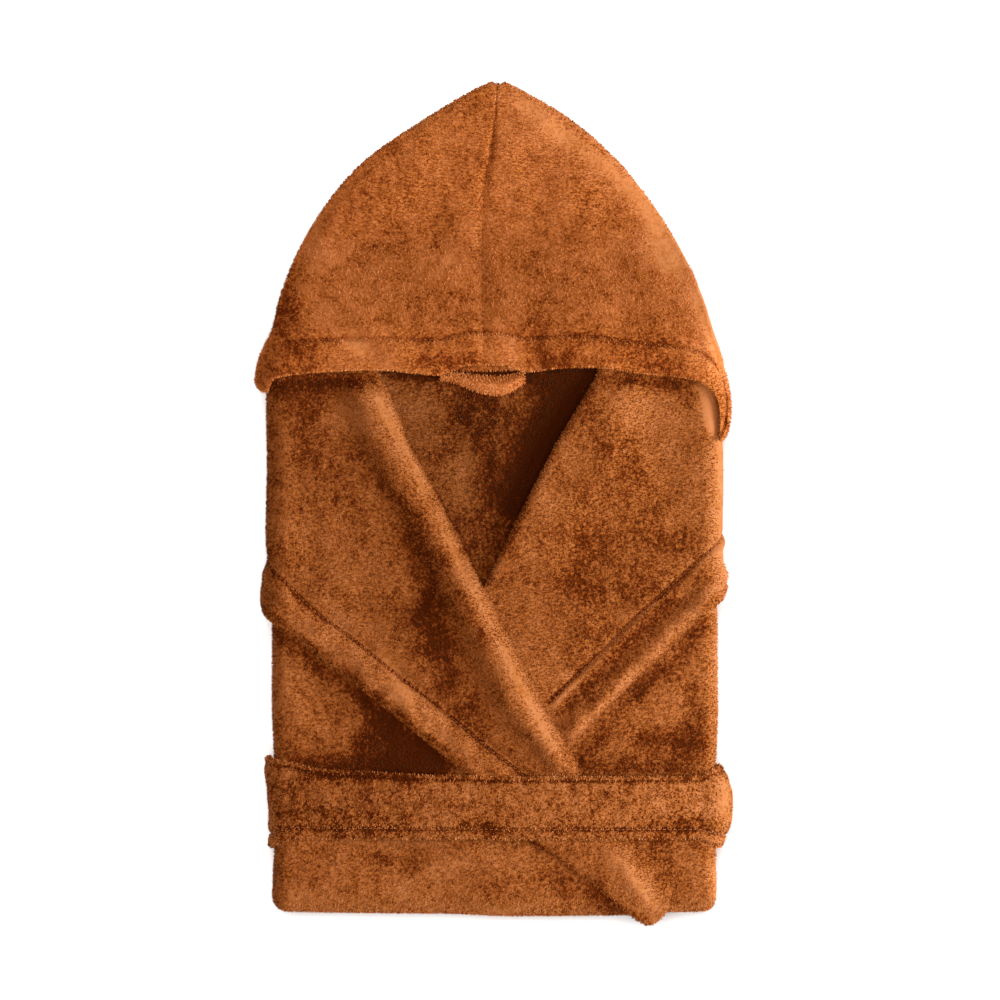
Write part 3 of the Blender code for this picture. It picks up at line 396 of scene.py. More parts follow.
def along_curve(spots, share):
    """A point at a share of the length of the smooth curve through these spots."""
    lengths = [0.0]
    for start, end in zip(spots, spots[1:]):
        lengths.append(lengths[-1] + math.dist(start, end))
    at = share * lengths[-1]
    x, y = (read_table(lengths, [spot[axis] for spot in spots], at) for axis in (0, 1))
    return Vector((x, y))


def ridge_rise(ridge, x, y):
    """How much a straight soft ridge adds at a place; it fades past its ends."""
    x0, y0, x1, y1, width, rise = ridge
    run = Vector((x1 - x0, y1 - y0))
    offset = Vector((x - x0, y - y0))
    share = min(max(offset.dot(run) / run.length_squared, 0.0), 1.0)
    away = (offset - run * share).length / width
    return rise * math.exp(-away * away)


def soft_creases(creases, x, y):
    """What these soft ridges and troughs add at a place."""
    return sum(ridge_rise(crease, x, y) for crease in creases)


def uneven(x, y, size, seed):
    """Smooth unevenness of about -1 to 1, with bumps about this size apart."""
    return noise.noise(Vector((x / size, y / size, seed))) * 1.6


def bell(value, centre, width):
    """1 at the centre, fading to 0 on both sides."""
    return math.exp(-(((value - centre) / width) ** 2))


def belt_press(y):
    """1 under the belt, fading to 0 above and below it."""
    return bell(y, BELT_Y, 40.0)


def side_edge(across, y):
    """Where the side fold starts on this side; the belt pulls it in, and it wanders a little."""
    edge = LEFT_EDGE if across < 0 else RIGHT_EDGE
    wander = SIDE_WANDER * uneven(0, y, 55, 1.7 if across < 0 else 4.2) * smooth(90 - y, 0, 60)
    return edge - PINCH * belt_press(y) + wander * (1 - belt_press(y))


def swell(across, along):
    """Height of the fronts' outer face above the plane of the side folds, over the flat of the bundle."""
    share = min(abs(across) / side_edge(across, along), 1.0)
    flat = smooth(along, FOLD_Y - 25, FOLD_Y + 30)
    crown = CROWN * (1 - share**2) ** 2 * flat
    free = smooth(88 - along, 0, 40) * (1 - smooth(belt_press(along), 0.35, 0.6)) * smooth(1 - share, 0, 0.1)
    drape = soft_creases(DRAPE, across, along) + uneven(across, along, 48, 0.6) + 0.5 * uneven(across, along, 19, 2.3)
    return crown - WAIST_DEPTH * belt_press(along) * (1 - share**2) * flat + drape * free * flat


def on_bundle(across, along, lift):
    """The point on the folded bundle at this place on the front, moved out by lift from its outer face."""
    turn = max(FOLD_Y - along, 0.0) / FOLD_RADIUS
    if turn > math.pi:
        y, z, out_y, out_z = FOLD_Y + (turn - math.pi) * FOLD_RADIUS, 0.0, 0.0, -1.0
    else:
        out_y, out_z = -math.sin(turn), math.cos(turn)
        y = max(along, FOLD_Y) + FOLD_RADIUS * out_y
        z = FOLD_RADIUS * (1 + out_z)
    edge = side_edge(across, y)
    past = abs(across) - edge
    if past <= 0:
        x, rise = across, lift + swell(across, along)
    else:
        side_turn = past / SIDE_RADIUS
        x = math.copysign(edge + (SIDE_RADIUS + lift) * math.sin(side_turn), across)
        rise = (SIDE_RADIUS + lift) * math.cos(side_turn) - SIDE_RADIUS
    bow = FOLD_BOW * (1 - min(abs(x) / LEFT_EDGE, 1.0) ** 2) * smooth(-y, 240, 320)
    return Vector((x, y + out_y * rise - bow, z + out_z * rise))


def side_limit(sign, turn, y):
    """The place across where a piece ends, this far round the side fold."""
    return sign * (side_edge(sign, y) + SIDE_RADIUS * turn)


def facing_up(along):
    """1 on top of the bundle, falling to 0 underneath it."""
    turn = min(max(FOLD_Y - along, 0.0) / FOLD_RADIUS, math.pi)
    return (1 + math.cos(turn)) / 2


def left_roll(along):
    return column(LEFT_EDGES, "roll", along)


def right_collar_edge(along):
    """Inner edge of the right collar: its roll down to the crossing, then tucked under the left roll."""
    roll = column(RIGHT_EDGES, "roll", along)
    return max(roll, left_roll(along) - TUCK) if along < CROSSING_Y else roll


def right_front_edge(along):
    """Inner edge of the right front: inside the roll down to the crossing, then under the left front."""
    seam = column(RIGHT_EDGES, "roll", along) + LIP_WIDTH
    if along >= CROSSING_Y:
        return seam
    hidden = column(LAP_EDGE, "across", along) if along < LAP_START else left_roll(along)
    past = smooth(-along, -CROSSING_Y, -CROSSING_Y + 45)
    return max(seam - 1.6 * LIP_WIDTH * past, hidden - LAP)


def left_front_edge(along):
    """Inner edge of the left front: inside the roll down to the belt, then its own edge."""
    if along >= LAP_START:
        return left_roll(along) - LIP_WIDTH
    return column(LAP_EDGE, "across", along)


def left_rise(across, along):
    """How far the left front rises over the right front and the right collar, where it laps over them."""
    over_front = smooth(across - right_front_edge(along), -78, -18)
    over_collar = smooth(across - right_collar_edge(along), -50, -4) * smooth(along, -234, -208)
    over_collar *= smooth(-along, 25, 62)
    return (LAP_RISE * over_front + COLLAR_RISE * over_collar) * facing_up(along)


def right_sink(across, along):
    """How far the right front is pushed in where the left one laps over it round the skirt fold."""
    lapped = 1 - smooth(across - column(LAP_EDGE, "across", along), 2, 24) if along < LAP_START else 0.0
    return LAP_RISE * lapped * (1 - facing_up(along))


def spread(start, end, count):
    return [start + (end - start) * i / (count - 1) for i in range(count)]


def closer(values, step):
    """The same places with more between them, so that none is further than step from the next."""
    dense = [values[0]]
    for start, end in zip(values, values[1:]):
        dense += spread(start, end, max(1, math.ceil(abs(end - start) / step)) + 1)[1:]
    return dense


def new_object(name, data):
    """A new object in the scene, with this mesh, lamp or camera."""
    made = bpy.data.objects.new(name, data)
    bpy.context.scene.collection.objects.link(made)
    return made


def new_mesh(name, bm):
    """The finished mesh of what was built."""
    mesh = bpy.data.meshes.new(name)
    bm.to_mesh(mesh)
    bm.free()
    return mesh


def new_piece(node_name, bm):
    """A smooth piece of cloth in the frame, which rides on the robe's body and stands for a CAD node."""
    bmesh.ops.translate(bm, verts=bm.verts, vec=-MIDDLE * MM)
    bmesh.ops.recalc_face_normals(bm, faces=bm.faces)
    mesh = new_mesh("cloth_" + node_name, bm)
    mesh.shade_smooth()
    mesh.set_sharp_from_angle(angle=math.radians(60))
    piece = new_object("cloth_" + node_name, mesh)
    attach(piece, "root")
    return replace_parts(piece, node_name)


def strip(bm, first, second, closed=False):
    """Faces between two rows of vertices."""
    count = len(first)
    for i in range(count if closed else count - 1):
        j = (i + 1) % count
        corners = (first[i], first[j], second[j], second[i])
        distinct = list(dict.fromkeys(corners))
        if len(distinct) > 2:
            bm.faces.new(distinct)


def cloth_wall(name, rows):
    """A wall of cloth that stands for the CAD node of its own name. Each row is a section, a list of (outer,
    inner) points; the four edges are closed."""
    bm = bmesh.new()
    rings = []
    for row in rows:
        outer = [bm.verts.new(point * MM) for point, _ in row]
        inner = [bm.verts.new(point * MM) for _, point in row]
        rings.append(outer + inner[::-1])
    for first, second in zip(rings, rings[1:]):
        strip(bm, first, second, closed=True)
    for ring in (rings[0], rings[-1]):
        half = len(ring) // 2
        strip(bm, ring[:half], ring[:half - 1:-1])
    return new_piece(name, bm)


def build_front(name, sign, inner_edge, rise):
    """A front from its edge at the V, over the side fold, and from the neck round the skirt fold."""
    turned = [FOLD_Y - FOLD_RADIUS * math.radians(turn) for turn in FOLD_TURNS]
    places_along = [*TOP_ROWS, *SKIRT_ROWS, *turned, FOLD_Y - FOLD_RADIUS * FRONT_END]
    rows = []
    for along in closer(places_along, WEAVE):
        y = on_bundle(0, along, 0).y
        places = spread(inner_edge(along), side_edge(sign, y) * sign, 38)
        places += [side_limit(sign, FRONT_TURN * share, y) for share in spread(0, 1, 12)[1:]]
        row = []
        for a in places:
            lift = rise(a, along)
            row.append((on_bundle(a, along, lift), on_bundle(a, along, lift - CLOTH)))
        rows.append(row)
    return cloth_wall(name, rows)


def build_back():
    """The back's inside, which shows in the V, from the neck seam down past the crossing."""
    outer = -CLOTH - SEAT
    rows = []
    for along in closer((SEAM_Y + NECK_TURN, SEAM_Y, 78, 32, -12, -56, -88, -132), WEAVE):
        row = []
        for a in spread(-140, 140, 50):
            dip = min(0.0, soft_creases(BACK_CREASES, a, along))
            row.append((on_bundle(a, along, outer + dip), on_bundle(a, along, outer - CLOTH)))
        rows.append(row)
    return cloth_wall("back", rows)


def roll_section(loft, curl):
    """Section through a roll, from the lip that meets the front's edge to its top: (inset, height) of the
    middle of the cloth. A curl of 1 turns the cloth right under, and 0 leaves it flat."""
    top = SEAT + LOOSE + CLOTH / 2 + loft
    length = math.pi * (top + CLOTH / 2) / 2 * curl + 6.0 * (1 - curl)
    inset, height, heading, steps = 0.0, top, 0.0, 12
    path = [(inset, height)]
    for _ in range(steps):
        heading += math.pi * curl / steps / 2
        inset -= length / steps * math.cos(heading)
        height -= length / steps * math.sin(heading)
        heading += math.pi * curl / steps / 2
        path.append((inset, height))
    nose = min(point[0] for point in path)
    lip = LIP_WIDTH - SEAT if curl > 0.99 else path[-1][0] - nose + CLOTH / 2 - 2.0
    path = [(inset - nose + CLOTH / 2, max(height, -CLOTH / 2)) for inset, height in path]
    path.append((lip, max(path[-1][1] - 2.0 * math.sin(heading), -CLOTH / 2)))
    return path[::-1]


def stretch(start, end, edge, share):
    """A place from start to end, counted outwards; its steps are closer where the cloth turns round the side
    fold."""
    wide_start, wide_end = (place + 5 * max(place - edge, 0.0) for place in (start, end))
    at = wide_start + (wide_end - wide_start) * share
    return at if at <= edge else edge + (at - edge) / 6


def collar_section(start, line, end, edge, loft, crest, reach, curl, loose):
    """Section through a collar from its lip to its hem: (place counted outwards, height) of the middle of
    the cloth. It starts at the roll's nose, goes on up to the roll's crest, and lies flat at its reach; the hem
    runs from line to end."""
    base = SEAT + LOOSE + CLOTH / 2
    section = [(start + inset, height) for inset, height in roll_section(loft * crest, curl)]
    run_start = section[-1][0]
    slack = max(start + min(reach, (line - start) / 2), run_start + 2.0)
    for share in spread(0, 1, 12)[1:]:
        height = (crest + (1 - crest) * smooth(share, -0.2, 0.36)) * (1 - smooth(share, 0.4, 1))
        section.append((run_start + (slack - run_start) * share, base + loft * height))
    places = [stretch(slack, line, edge, share) for share in spread(0, 1, 24)[1:-1]]
    gap = line - places[-1]
    places += [line - gap * share for share in (0.72, 0.46, 0.24, 0)]
    hem = closer((0, 0.045, 0.09, 0.15, 0.35, 0.56, 0.78, 0.93, 1.0), 0.08)[1:]
    places += [stretch(line, end, edge, share) for share in hem]
    return section + [(place, base + loose * smooth(place, edge - 10, edge + 6)) for place in places]


def build_collar(name, sign, inner_edge, last, loft_at, curl_at, rise, hem_fade, creases):
    """A turned-back collar: a roll at the V, a flat run and a wide stitched hem that goes round the side.
    Returns its stitch line too."""
    edges, hem_width = (LEFT_EDGES, LEFT_HEM) if sign < 0 else (RIGHT_EDGES, RIGHT_HEM)
    rows, seam = [], []
    for along in closer([row for row in TOP_ROWS if row > last], WEAVE * 0.7):
        start = sign * inner_edge(along)
        slope = (column(edges, "hem", along + 6) - column(edges, "hem", along - 6)) / 12
        skew = min(math.hypot(1, slope), 1.35)
        hem = sign * column(edges, "hem", along)
        end = min(hem, sign * side_limit(sign, COLLAR_TURN, along))
        stitch = hem - hem_width * skew
        line = max(min(stitch, end - 5.0), start + 12.0, start + 0.45 * (end - start))
        loose = SIDE_LOOSE * (1 - smooth(along, 94, 110))
        edge = side_edge(sign, along)
        crest, reach = (LEFT_CREST, LEFT_REACH) if sign < 0 else (RIGHT_CREST, RIGHT_REACH)
        section = collar_section(start, line, end, edge, loft_at(along), crest, reach, curl_at(along), loose)
        row = []
        for i, (place, height) in enumerate(section):
            before, after = section[max(i - 1, 0)], section[min(i + 1, len(section) - 1)]
            run, climb = after[0] - before[0], after[1] - before[1]
            size = math.hypot(run, climb)
            out_place, out_lift = -climb / size, run / size
            past_line = (place - stitch) / skew if out_lift > 0 else -hem_width
            fade = hem_fade(sign * place, along)
            if sign < 0:
                band = LEFT_PUFF * smooth(past_line, 1.5, 13.0)
                dip = 1.3 * STITCH_DIP * bell(past_line, -5.5, 1.8)
            else:
                band = 0.1 * smooth(past_line, 1.0, 5.0) + RIGHT_PUFF * smooth(past_line, 15.0, hem_width - 7)
                dip = -LIP_RISE * bell(past_line, 4.2, 2.8)
            puff = 1 + 0.3 * uneven(place, along, 26, 3.1) + 0.3 * uneven(place, along, 9, 5.2)
            band *= (1 - 0.5 * smooth(past_line, hem_width - 6, hem_width)) * puff
            dip += 1.8 * STITCH_DIP * bell(past_line, 0.0, 2.2)
            lift = rise(sign * place, along) + height
            crease = soft_creases(creases, sign * place, along) * smooth(out_lift, 0.0, 0.5)
            thick = CLOTH / 2 + (HEM_RISE * band - dip) * fade + crease
            outer = on_bundle(sign * (place + out_place * thick), along, lift + out_lift * thick)
            thick = -CLOTH / 2 + min(crease, 0.0)
            inner = on_bundle(sign * (place + out_place * thick), along, lift + out_lift * thick)
            row.append((outer, inner))
        if stitch > start + 14 and stitch < end - 6:
            lift = rise(sign * stitch, along) + SEAT + LOOSE + CLOTH - 1.4 * STITCH_DIP
            seam.append(on_bundle(sign * stitch, along, lift + loose * smooth(stitch, edge - 10, edge + 6)))
        rows.append(row)
    return cloth_wall(name, rows), seam


def core_lift(along, y, side_turn):
    """Outer face of the hidden layers: two layers down under the fronts, and flush past their end, with a
    channel for the belt underneath."""
    end = FOLD_Y - FOLD_RADIUS * FRONT_END
    lift = -(CORE_DROP + 1.2 * (1 - facing_up(along))) * smooth(along, end - 5.0, end - 1.2)
    if along < end - 1.0:
        away = abs(y - BELT_Y)
        half = CHANNEL_BELOW if y < BELT_Y else CHANNEL_HALF
        channel = 1 - smooth(away, half, half + 4)
        lift -= CHANNEL_DEPTH * channel * (1 - smooth(side_turn, 1.0, 1.75))
    return lift


def build_folded_layers():
    """The hidden layers, one rounded solid: an upper and a lower stack that meet at the skirt fold, parted
    by a groove along the sides and at the neck end, where each stack is rounded. Folded edges show as soft
    creases round its sides."""
    end = FOLD_Y - FOLD_RADIUS * FRONT_END
    turned = [FOLD_Y - FOLD_RADIUS * math.radians(turn) for turn in range(10, 160, 10)]
    banks = [BELT_Y - CHANNEL_BELOW - 4, BELT_Y - CHANNEL_BELOW, BELT_Y + CHANNEL_HALF, BELT_Y + CHANNEL_HALF + 4]
    under_y = closer((-298, *banks[:2], BELT_Y, *banks[2:], -142, -76, 0, 74, LOWER_NECK_Y), 7)
    under = [FOLD_Y - FOLD_RADIUS * math.pi - (y - FOLD_Y) for y in under_y]
    top = closer((NECK_Y, 63, -12, -76, -142, -198, -251, -303), 7)
    alongs = [*top, *turned, end - 1.2, end - 5.0, *under]
    turns = [CORE_TURN * share for share in spread(1, 0, 21)[:-1]]
    bm = bmesh.new()
    rings = []
    for along in alongs:
        y = on_bundle(0, along, 0).y
        places = [(side_limit(-1, turn, y), turn) for turn in turns]
        places += [(a, 0.0) for a in spread(-side_edge(-1, y), side_edge(1, y), 41)]
        places += [(side_limit(1, turn, y), turn) for turn in turns[::-1]]
        row = []
        for a, turn in places:
            lift = core_lift(along, y, turn)
            wander = 0.12 * uneven(math.copysign(40, a), y, 70, 5.0)
            lift -= LAYER_DIP * bell(turn - SIDE_CREASES[0], wander, 0.16) * smooth(-turn, -2.4, -2.2)
            lift -= 0.7 * LAYER_DIP * bell(turn - SIDE_CREASES[1], -wander, 0.14) * smooth(turn, 0.5, 0.9)
            row.append(on_bundle(a, along, lift))
        rings.append([bm.verts.new(point * MM) for point in row])
    for first, second in zip(rings, rings[1:]):
        strip(bm, first, second)
    close_neck_end(bm, rings[0], rings[-1], len(turns))
    for side in (0, -1):
        fill_loop(bm, [ring[side] for ring in rings])
    return new_piece("folded_layers", bm)


def fill_loop(bm, loop):
    """Triangles that close a nearly flat loop of vertices."""
    bmesh.ops.triangulate(bm, faces=[bm.faces.new(loop)], ngon_method="EAR_CLIP")


def close_neck_end(bm, upper, lower, arc):
    """A rounded end on each stack, with a crease between them: rows across the flat part, and one face over
    the side folds (the first and last arc vertices of a row) at each end."""
    inner = slice(arc, len(upper) - arc)
    shares = [share for share, _ in NECK_LOBES]
    reaches = [reach for _, reach in NECK_LOBES]
    rows = [upper[inner]]
    for share in closer(shares, 0.035):
        row = []
        for top, bottom in zip(upper[inner], lower[inner]):
            point = top.co.lerp(bottom.co, share)
            layers = LAYER_DIP * math.cos(share * 44 + 1.2 * uneven(point.x / MM, 0, 90, 2.0))
            point.y += (read_table(shares, reaches, share) + layers) * MM
            row.append(bm.verts.new(point))
        rows.append(row)
    rows.append(lower[inner])
    for first, second in zip(rows, rows[1:]):
        strip(bm, first, second)
    fill_loop(bm, upper[:arc] + [row[0] for row in rows] + lower[:arc][::-1])
    fill_loop(bm, upper[-1:-arc - 1:-1] + [row[-1] for row in rows] + lower[-arc:])


def bridge(x, y):
    """What the hood's upper leaf rests on over the bundle: the collars, and a shallow sag over the neck."""
    y = min(y, NECK_Y)
    edge = LEFT_EDGE if x < 0 else RIGHT_EDGE
    share = min(abs(x) / edge, 1.0)
    collars = TOP_Z + CROWN * (1 - share**2) ** 2 + SEAT + LOOSE + CLOTH + HOOD_LIFT
    sag = 1 - smooth(abs(x + 4), 20, 92)
    return collars - NECK_SAG * sag, collars


def neck_floor(x):
    """The back's inside face at the neck, under the hood's lower leaf."""
    share = min(abs(x) / LEFT_EDGE, 1.0)
    return TOP_Z + CROWN * (1 - share**2) ** 2 - CLOTH - SEAT


def droop(x, y):
    """How far the hood hangs down past the bundle's edge."""
    edge = LEFT_EDGE if x < 0 else RIGHT_EDGE
    past = max(abs(x) - edge - 4, 0.0) / 22.0
    corner = CORNER_SETTLE * smooth(x, 160, 182) * (1 - smooth(y, 84, 112))
    return DROOP * past**1.6 * (1 - smooth(y, 135, 190)) + corner


def fall(y):
    """How high the hood lies here, as a share of its height on the bundle."""
    return min(max(column(HOOD_DRAPE, "share", y, key="y"), 0.0), 1.0)


def lower_leaf(x, y):
    """Underside height of the hood's lower leaf. It starts low at the neck seam, climbs steeply beside the rolls
    there, and more softly further back."""
    _, collars = bridge(x, y)
    at = min(y, NECK_Y)
    left, right = left_roll(at), column(RIGHT_EDGES, "roll", at)
    climb = 6 + 30 * smooth(y, 113, 132)
    on_collar = 1 - smooth(x, left - 1, left + climb - 2) if x < 0 else smooth(x, right - climb + 2, right + 1)
    floor = neck_floor(x) + SEAT
    return (floor + (collars + 0.2 - floor) * on_collar - droop(x, y)) * fall(y)


def upper_leaf(x, y):
    """Underside height of the hood's upper leaf."""
    height, _ = bridge(x, y)
    height = (height - droop(x, y)) * fall(y)
    height += sum(ridge_rise(ridge, x, y) for ridge in HOOD_RIDGES)
    below = lower_leaf(x, y) + CLOTH
    return max(height + CLOTH + HOOD_GAP, below + HOOD_GAP)


def fold_line(outline, up, inset):
    """The middle of the hood's side fold at a share of its outline, and the direction that it faces."""
    sign = math.copysign(1, outline[2][0])
    step = along_curve(outline, min(up + 0.012, 1.0)) - along_curve(outline, max(up - 0.012, 0.0))
    out = Vector((step.y, -step.x)).normalized() * sign
    return along_curve(outline, up) - out * inset, out


def patch(seam, mouth, outline, inset, across_share, up):
    """A point of a flat hood panel between its centre seam, its mouth and its side fold."""
    straight = along_curve(seam, up).lerp(fold_line(outline, up, inset)[0], across_share)
    base = along_curve(seam, 0).lerp(fold_line(outline, 0, inset)[0], across_share)
    return straight + (along_curve(mouth, across_share) - base) * (1 - up) ** 3


def build_hood(name, outline, mouth, under):
    """One half of the hood: an upper leaf from the centre seam to the side fold, and a lower leaf back to
    the seam. Its hem at the mouth is a second layer with a stitch line. Returns that line too."""
    sign = math.copysign(1, outline[2][0])
    radius = (CLOTH + HOOD_GAP) / 2
    inset = radius + CLOTH / 2
    seam = [(x + sign * SEAT / 2, y) for x, y in HOOD_SEAM]
    start = seam[0][0]
    under_seam = [(start, under[0][1]), *seam[1:]]
    corner = tuple(fold_line(outline, 0, inset)[0])
    mouth = [(start, mouth[0][1]), *mouth[1:], corner]
    under = [(start, under[0][1]), *under[1:], corner]
    rows, hem_stitches = [], []
    shares = closer((0, 0.02, 0.05, 0.08, 0.2, 0.32, 0.44, 0.56, 0.68, 0.79, 0.87, 0.92, 0.96, 1.0), 0.022)
    for up in closer(HOOD_ROWS, 0.014):
        hem = HOOD_HEM_RISE * (1 - smooth(up, 0.105, 0.125)) - HEM_GROOVE * bell(up, HOOD_HEM, 0.009)
        row = []
        for share in shares:
            x, y = patch(seam, mouth, outline, inset, share, up)
            y += MOUTH_TRIM * (1 - smooth(up, 0, 0.08)) * (1 - smooth(share, 0.8, 0.95))
            low = upper_leaf(x, y)
            puff = 1 + 0.3 * uneven(x, y, 30, 6.0) * (up < HOOD_HEM)
            rise = hem * puff * (1 - smooth(share, 0.86, 1.0)) - SEAM_GROOVE * (1 - smooth(share, 0.0, 0.045))
            rise -= CORNER_THIN * smooth(x, 152, 174) * (1 - smooth(y, 86, 108))
            settle = smooth(share, 0, 0.06) * (1 - smooth(share, 0.9, 1.0)) * (1 - smooth(up, 0.85, 0.98))
            rise += max(soft_creases(HOOD_CREASES, x, y), -1.4) * settle
            rise += (0.9 + 0.9 * uneven(x, y, 42, 8.0) + 0.5 * uneven(x, y, 17, 9.0)) * settle
            row.append((Vector((x, y, low + CLOTH + rise)), Vector((x, y, low))))
            if abs(up - HOOD_HEM) < 1e-6 and share <= 0.9:
                hem_stitches.append(Vector((x, y, low + CLOTH + rise + 0.1)))
        middle, out = fold_line(outline, up, inset)
        high, low = row[-1][1].z + CLOTH / 2, lower_leaf(middle.x, middle.y) + CLOTH / 2
        for turn in range(18, 179, 18):
            lean, tip = math.sin(math.radians(turn)), math.cos(math.radians(turn))
            ring = []
            for reach in (CLOTH / 2, -CLOTH / 2):
                past = middle + out * ((radius + reach) * lean)
                ring.append(Vector((past.x, past.y, (high + low) / 2 + ((high - low) / 2 + reach) * tip)))
            row.append(tuple(ring))
        for share in closer((1.0, 0.95, 0.88, 0.76, 0.63, 0.52, 0.45, 0.38, 0.28, 0.14, 0.0), 0.06):
            x, y = patch(under_seam, under, outline, inset, share, up)
            low = lower_leaf(x, y)
            row.append((Vector((x, y, low)), Vector((x, y, low + CLOTH))))
        rows.append(row)
    return cloth_wall(name, rows), hem_stitches


def build_hang_loop():
    """A flat band sewn into the neck seam at both ends; it sags on the back."""
    rows = []
    for x in closer([loop.x for loop in HANG_LOOP], 2.0):
        top, bottom, rise = (column(HANG_LOOP, name, x, key="x") for name in ("top", "bottom", "rise"))
        row = []
        for share in spread(0, 1, 11):
            y = bottom + (top - bottom) * share
            lift = -CLOTH + max(rise, 0.2) * math.sin(math.pi * share) + LOOP_LIFT * math.sin(math.pi * share) ** 2
            rim = 0.9 * (1 - smooth(min(share, 1 - share), 0.0, 0.2))
            row.append((on_bundle(x, y, lift + 2.8 - rim), on_bundle(x, y, lift)))
        rows.append(row)
    return cloth_wall("hang_loop", rows)


def belt_stations():
    """Stations round the bundle for the belt's inner face: (side, x past the side edge, z, turn). A turn is
    the direction the belt faces there: 0 is up, 90 degrees is out at the right, 270 is out at the left."""
    radius = SIDE_RADIUS + BELT_CLEAR
    turns = range(0, 91, 9)
    stations = []
    for share in spread(-1, 1, 101)[1:-1]:
        x = share * (LEFT_EDGE if share < 0 else RIGHT_EDGE)
        across = (x - 20) / (LEFT_EDGE + 20 if x < 20 else RIGHT_EDGE - 20)
        stations.append((0, x, TOP_Z + BELT_CLEAR + BELT_ARCH * (1 - abs(across) ** 2.6), 0))
    for turn in turns:
        angle = math.radians(turn)
        stations.append((1, radius * math.sin(angle), TOP_Z - SIDE_RADIUS + radius * math.cos(angle), turn))
    for turn in turns[::-1]:
        angle = math.radians(turn)
        z = BELT_CLOTH + radius * (1 - math.cos(angle))
        stations.append((1, radius * math.sin(angle), z, 180 - turn))
    for share in spread(0.9, -0.9, 19):
        stations.append((0, share * LEFT_EDGE, BELT_CLOTH, 180))
    left = [(-1, -x, z, 360 - turn) for side, x, z, turn in stations if side == 1]
    return stations + left[::-1]


def belt_point(station, share, out):
    """A point of the belt: share of its width from the lower edge, and how far it is from the inner face."""
    side, x, z, turn = station
    facing = Vector((math.sin(math.radians(turn)), 0, math.cos(math.radians(turn))))
    flare = abs(facing.x)
    slope = BELT_SLOPE * (smooth(-x, 0, 190) if side == 0 and turn == 0 else side < 0)
    corner = BELT_CORNER * smooth(-x - side * LEFT_EDGE, 130, 180) * smooth(facing.z, -1, 0)
    top = BELT_Y + BELT_WIDTH / 2 + max(BELT_FLARE * flare, slope * (turn != 180)) + corner
    bottom = BELT_Y - BELT_WIDTH / 2 - LOWER_FLARE * flare + RIM_TRIM * (1 - flare)
    y = bottom + (top - bottom) * share
    if side:
        x += side * side_edge(side, y)
    loose = BELT_SLACK_RIGHT * (1 - (2 * share - 1) ** 2) if side > 0 else BELT_SLACK_LEFT * share**2
    point = Vector((x, y, z)) + facing * (out + loose * flare * flare)
    if turn == 0:
        free = smooth(LEFT_EDGE - abs(x), 0, 30)
        point.y += 0.7 * uneven(x, 0, 60, 1.0) * free
        point.z -= BELT_LEAN * (1 - smooth(share, 0.0, 0.45)) * free * (1 - 0.7 * smooth(x, -8, 24))
    point.z = max(point.z, 0.0)
    return point


def build_belt():
    """The belt's stretch round the bundle, closed on itself; it stands off loosely at the right. Its outer
    face is thinner at both edges and in the grooves of its stitch lines. Returns those lines too."""
    bm = bmesh.new()
    rings, lines = [], ([], [])
    shares, thicks = [share for share, _ in BELT_FACE], [thick for _, thick in BELT_FACE]
    for station in belt_stations():
        _, x, _, turn = station
        under = turn == 180
        ring = []
        for share in closer(shares, 0.03):
            slot = next(i for i in range(len(shares) - 1) if shares[i + 1] >= share)
            mix = (share - shares[slot]) / (shares[slot + 1] - shares[slot])
            thick = thicks[slot] + (thicks[slot + 1] - thicks[slot]) * mix
            if not under:
                puff = 0.9 * uneven(x, share * BELT_WIDTH, 13, 4.0) * smooth(min(share - 0.18, 0.9 - share), 0, 0.1)
                groove = bell(share, BELT_LINES[0], 0.026) + 0.3 * bell(share, BELT_LINES[1], 0.018)
                thick += (puff + 0.5 * (0.18 < share < 0.9)) / BELT_CLOTH - 0.42 * groove
            ring.append(belt_point(station, share, BELT_CLOTH * (1.0 if under else thick)))
        if not under:
            for line, share in zip(lines, BELT_LINES):
                line.append(belt_point(station, share, BELT_CLOTH * 0.66))
        ring += [belt_point(station, share, 0.0) for share in spread(1, 0, 9)]
        rings.append([bm.verts.new(point * MM) for point in ring])
    for first, second in zip(rings, rings[1:] + rings[:1]):
        strip(bm, first, second, closed=True)
    return new_piece("belt", bm), lines


def build_belt_tail():
    """The belt's free end: from under the belt down over the skirt fold, creased lengthwise."""
    rows = []
    places = closer([tail.y for tail in BELT_TAIL], 2.2)
    for y in places:
        left, right = (column(BELT_TAIL, name, y, key="y") for name in ("left", "right"))
        row = []
        for share in closer((0.0, 0.06, 0.24, 0.42, 0.58, 0.76, 0.94, 1.0), 0.035):
            x = left + (right - left) * share
            at = max(y, -314)
            lapped = LAP_RISE * (1 - smooth(x - column(LAP_EDGE, "across", at), 3, 20))
            floor = on_bundle(x, at, 0).z + lapped + SEAT + 0.8 - 0.45 * (at - y)
            crest = ridge_rise(TAIL_CREST, x, y) * smooth(-y, 273, 290)
            rim = 2.6 * (1 - smooth(share, 0.0, 0.12))
            rim += 3.0 * smooth(share, 0.55, 1.0) * (1 - 0.5 * smooth(-y, 300, 330))
            groove = 0.5 * bell(share, 0.13, 0.03) * smooth(-y, 280, 290)
            puff = 0.5 * uneven(x, y, 12, 7.0)
            row.append((Vector((x, y, floor + crest + BELT_CLOTH + puff - rim - groove)),
                        Vector((x, y, floor + crest))))
        rows.append(row)
    return cloth_wall("belt_tail", rows)


# Finishes

def node(tree, kind, inputs, **settings):
    """A node with these settings; each of its inputs is given a value, or the output that it reads."""
    made = tree.nodes.new(kind)
    for label, value in settings.items():
        setattr(made, label, value)
    for socket, value in inputs.items():
        if isinstance(value, bpy.types.NodeSocket):
            tree.links.new(value, made.inputs[socket])
        else:
            made.inputs[socket].default_value = value
    return made


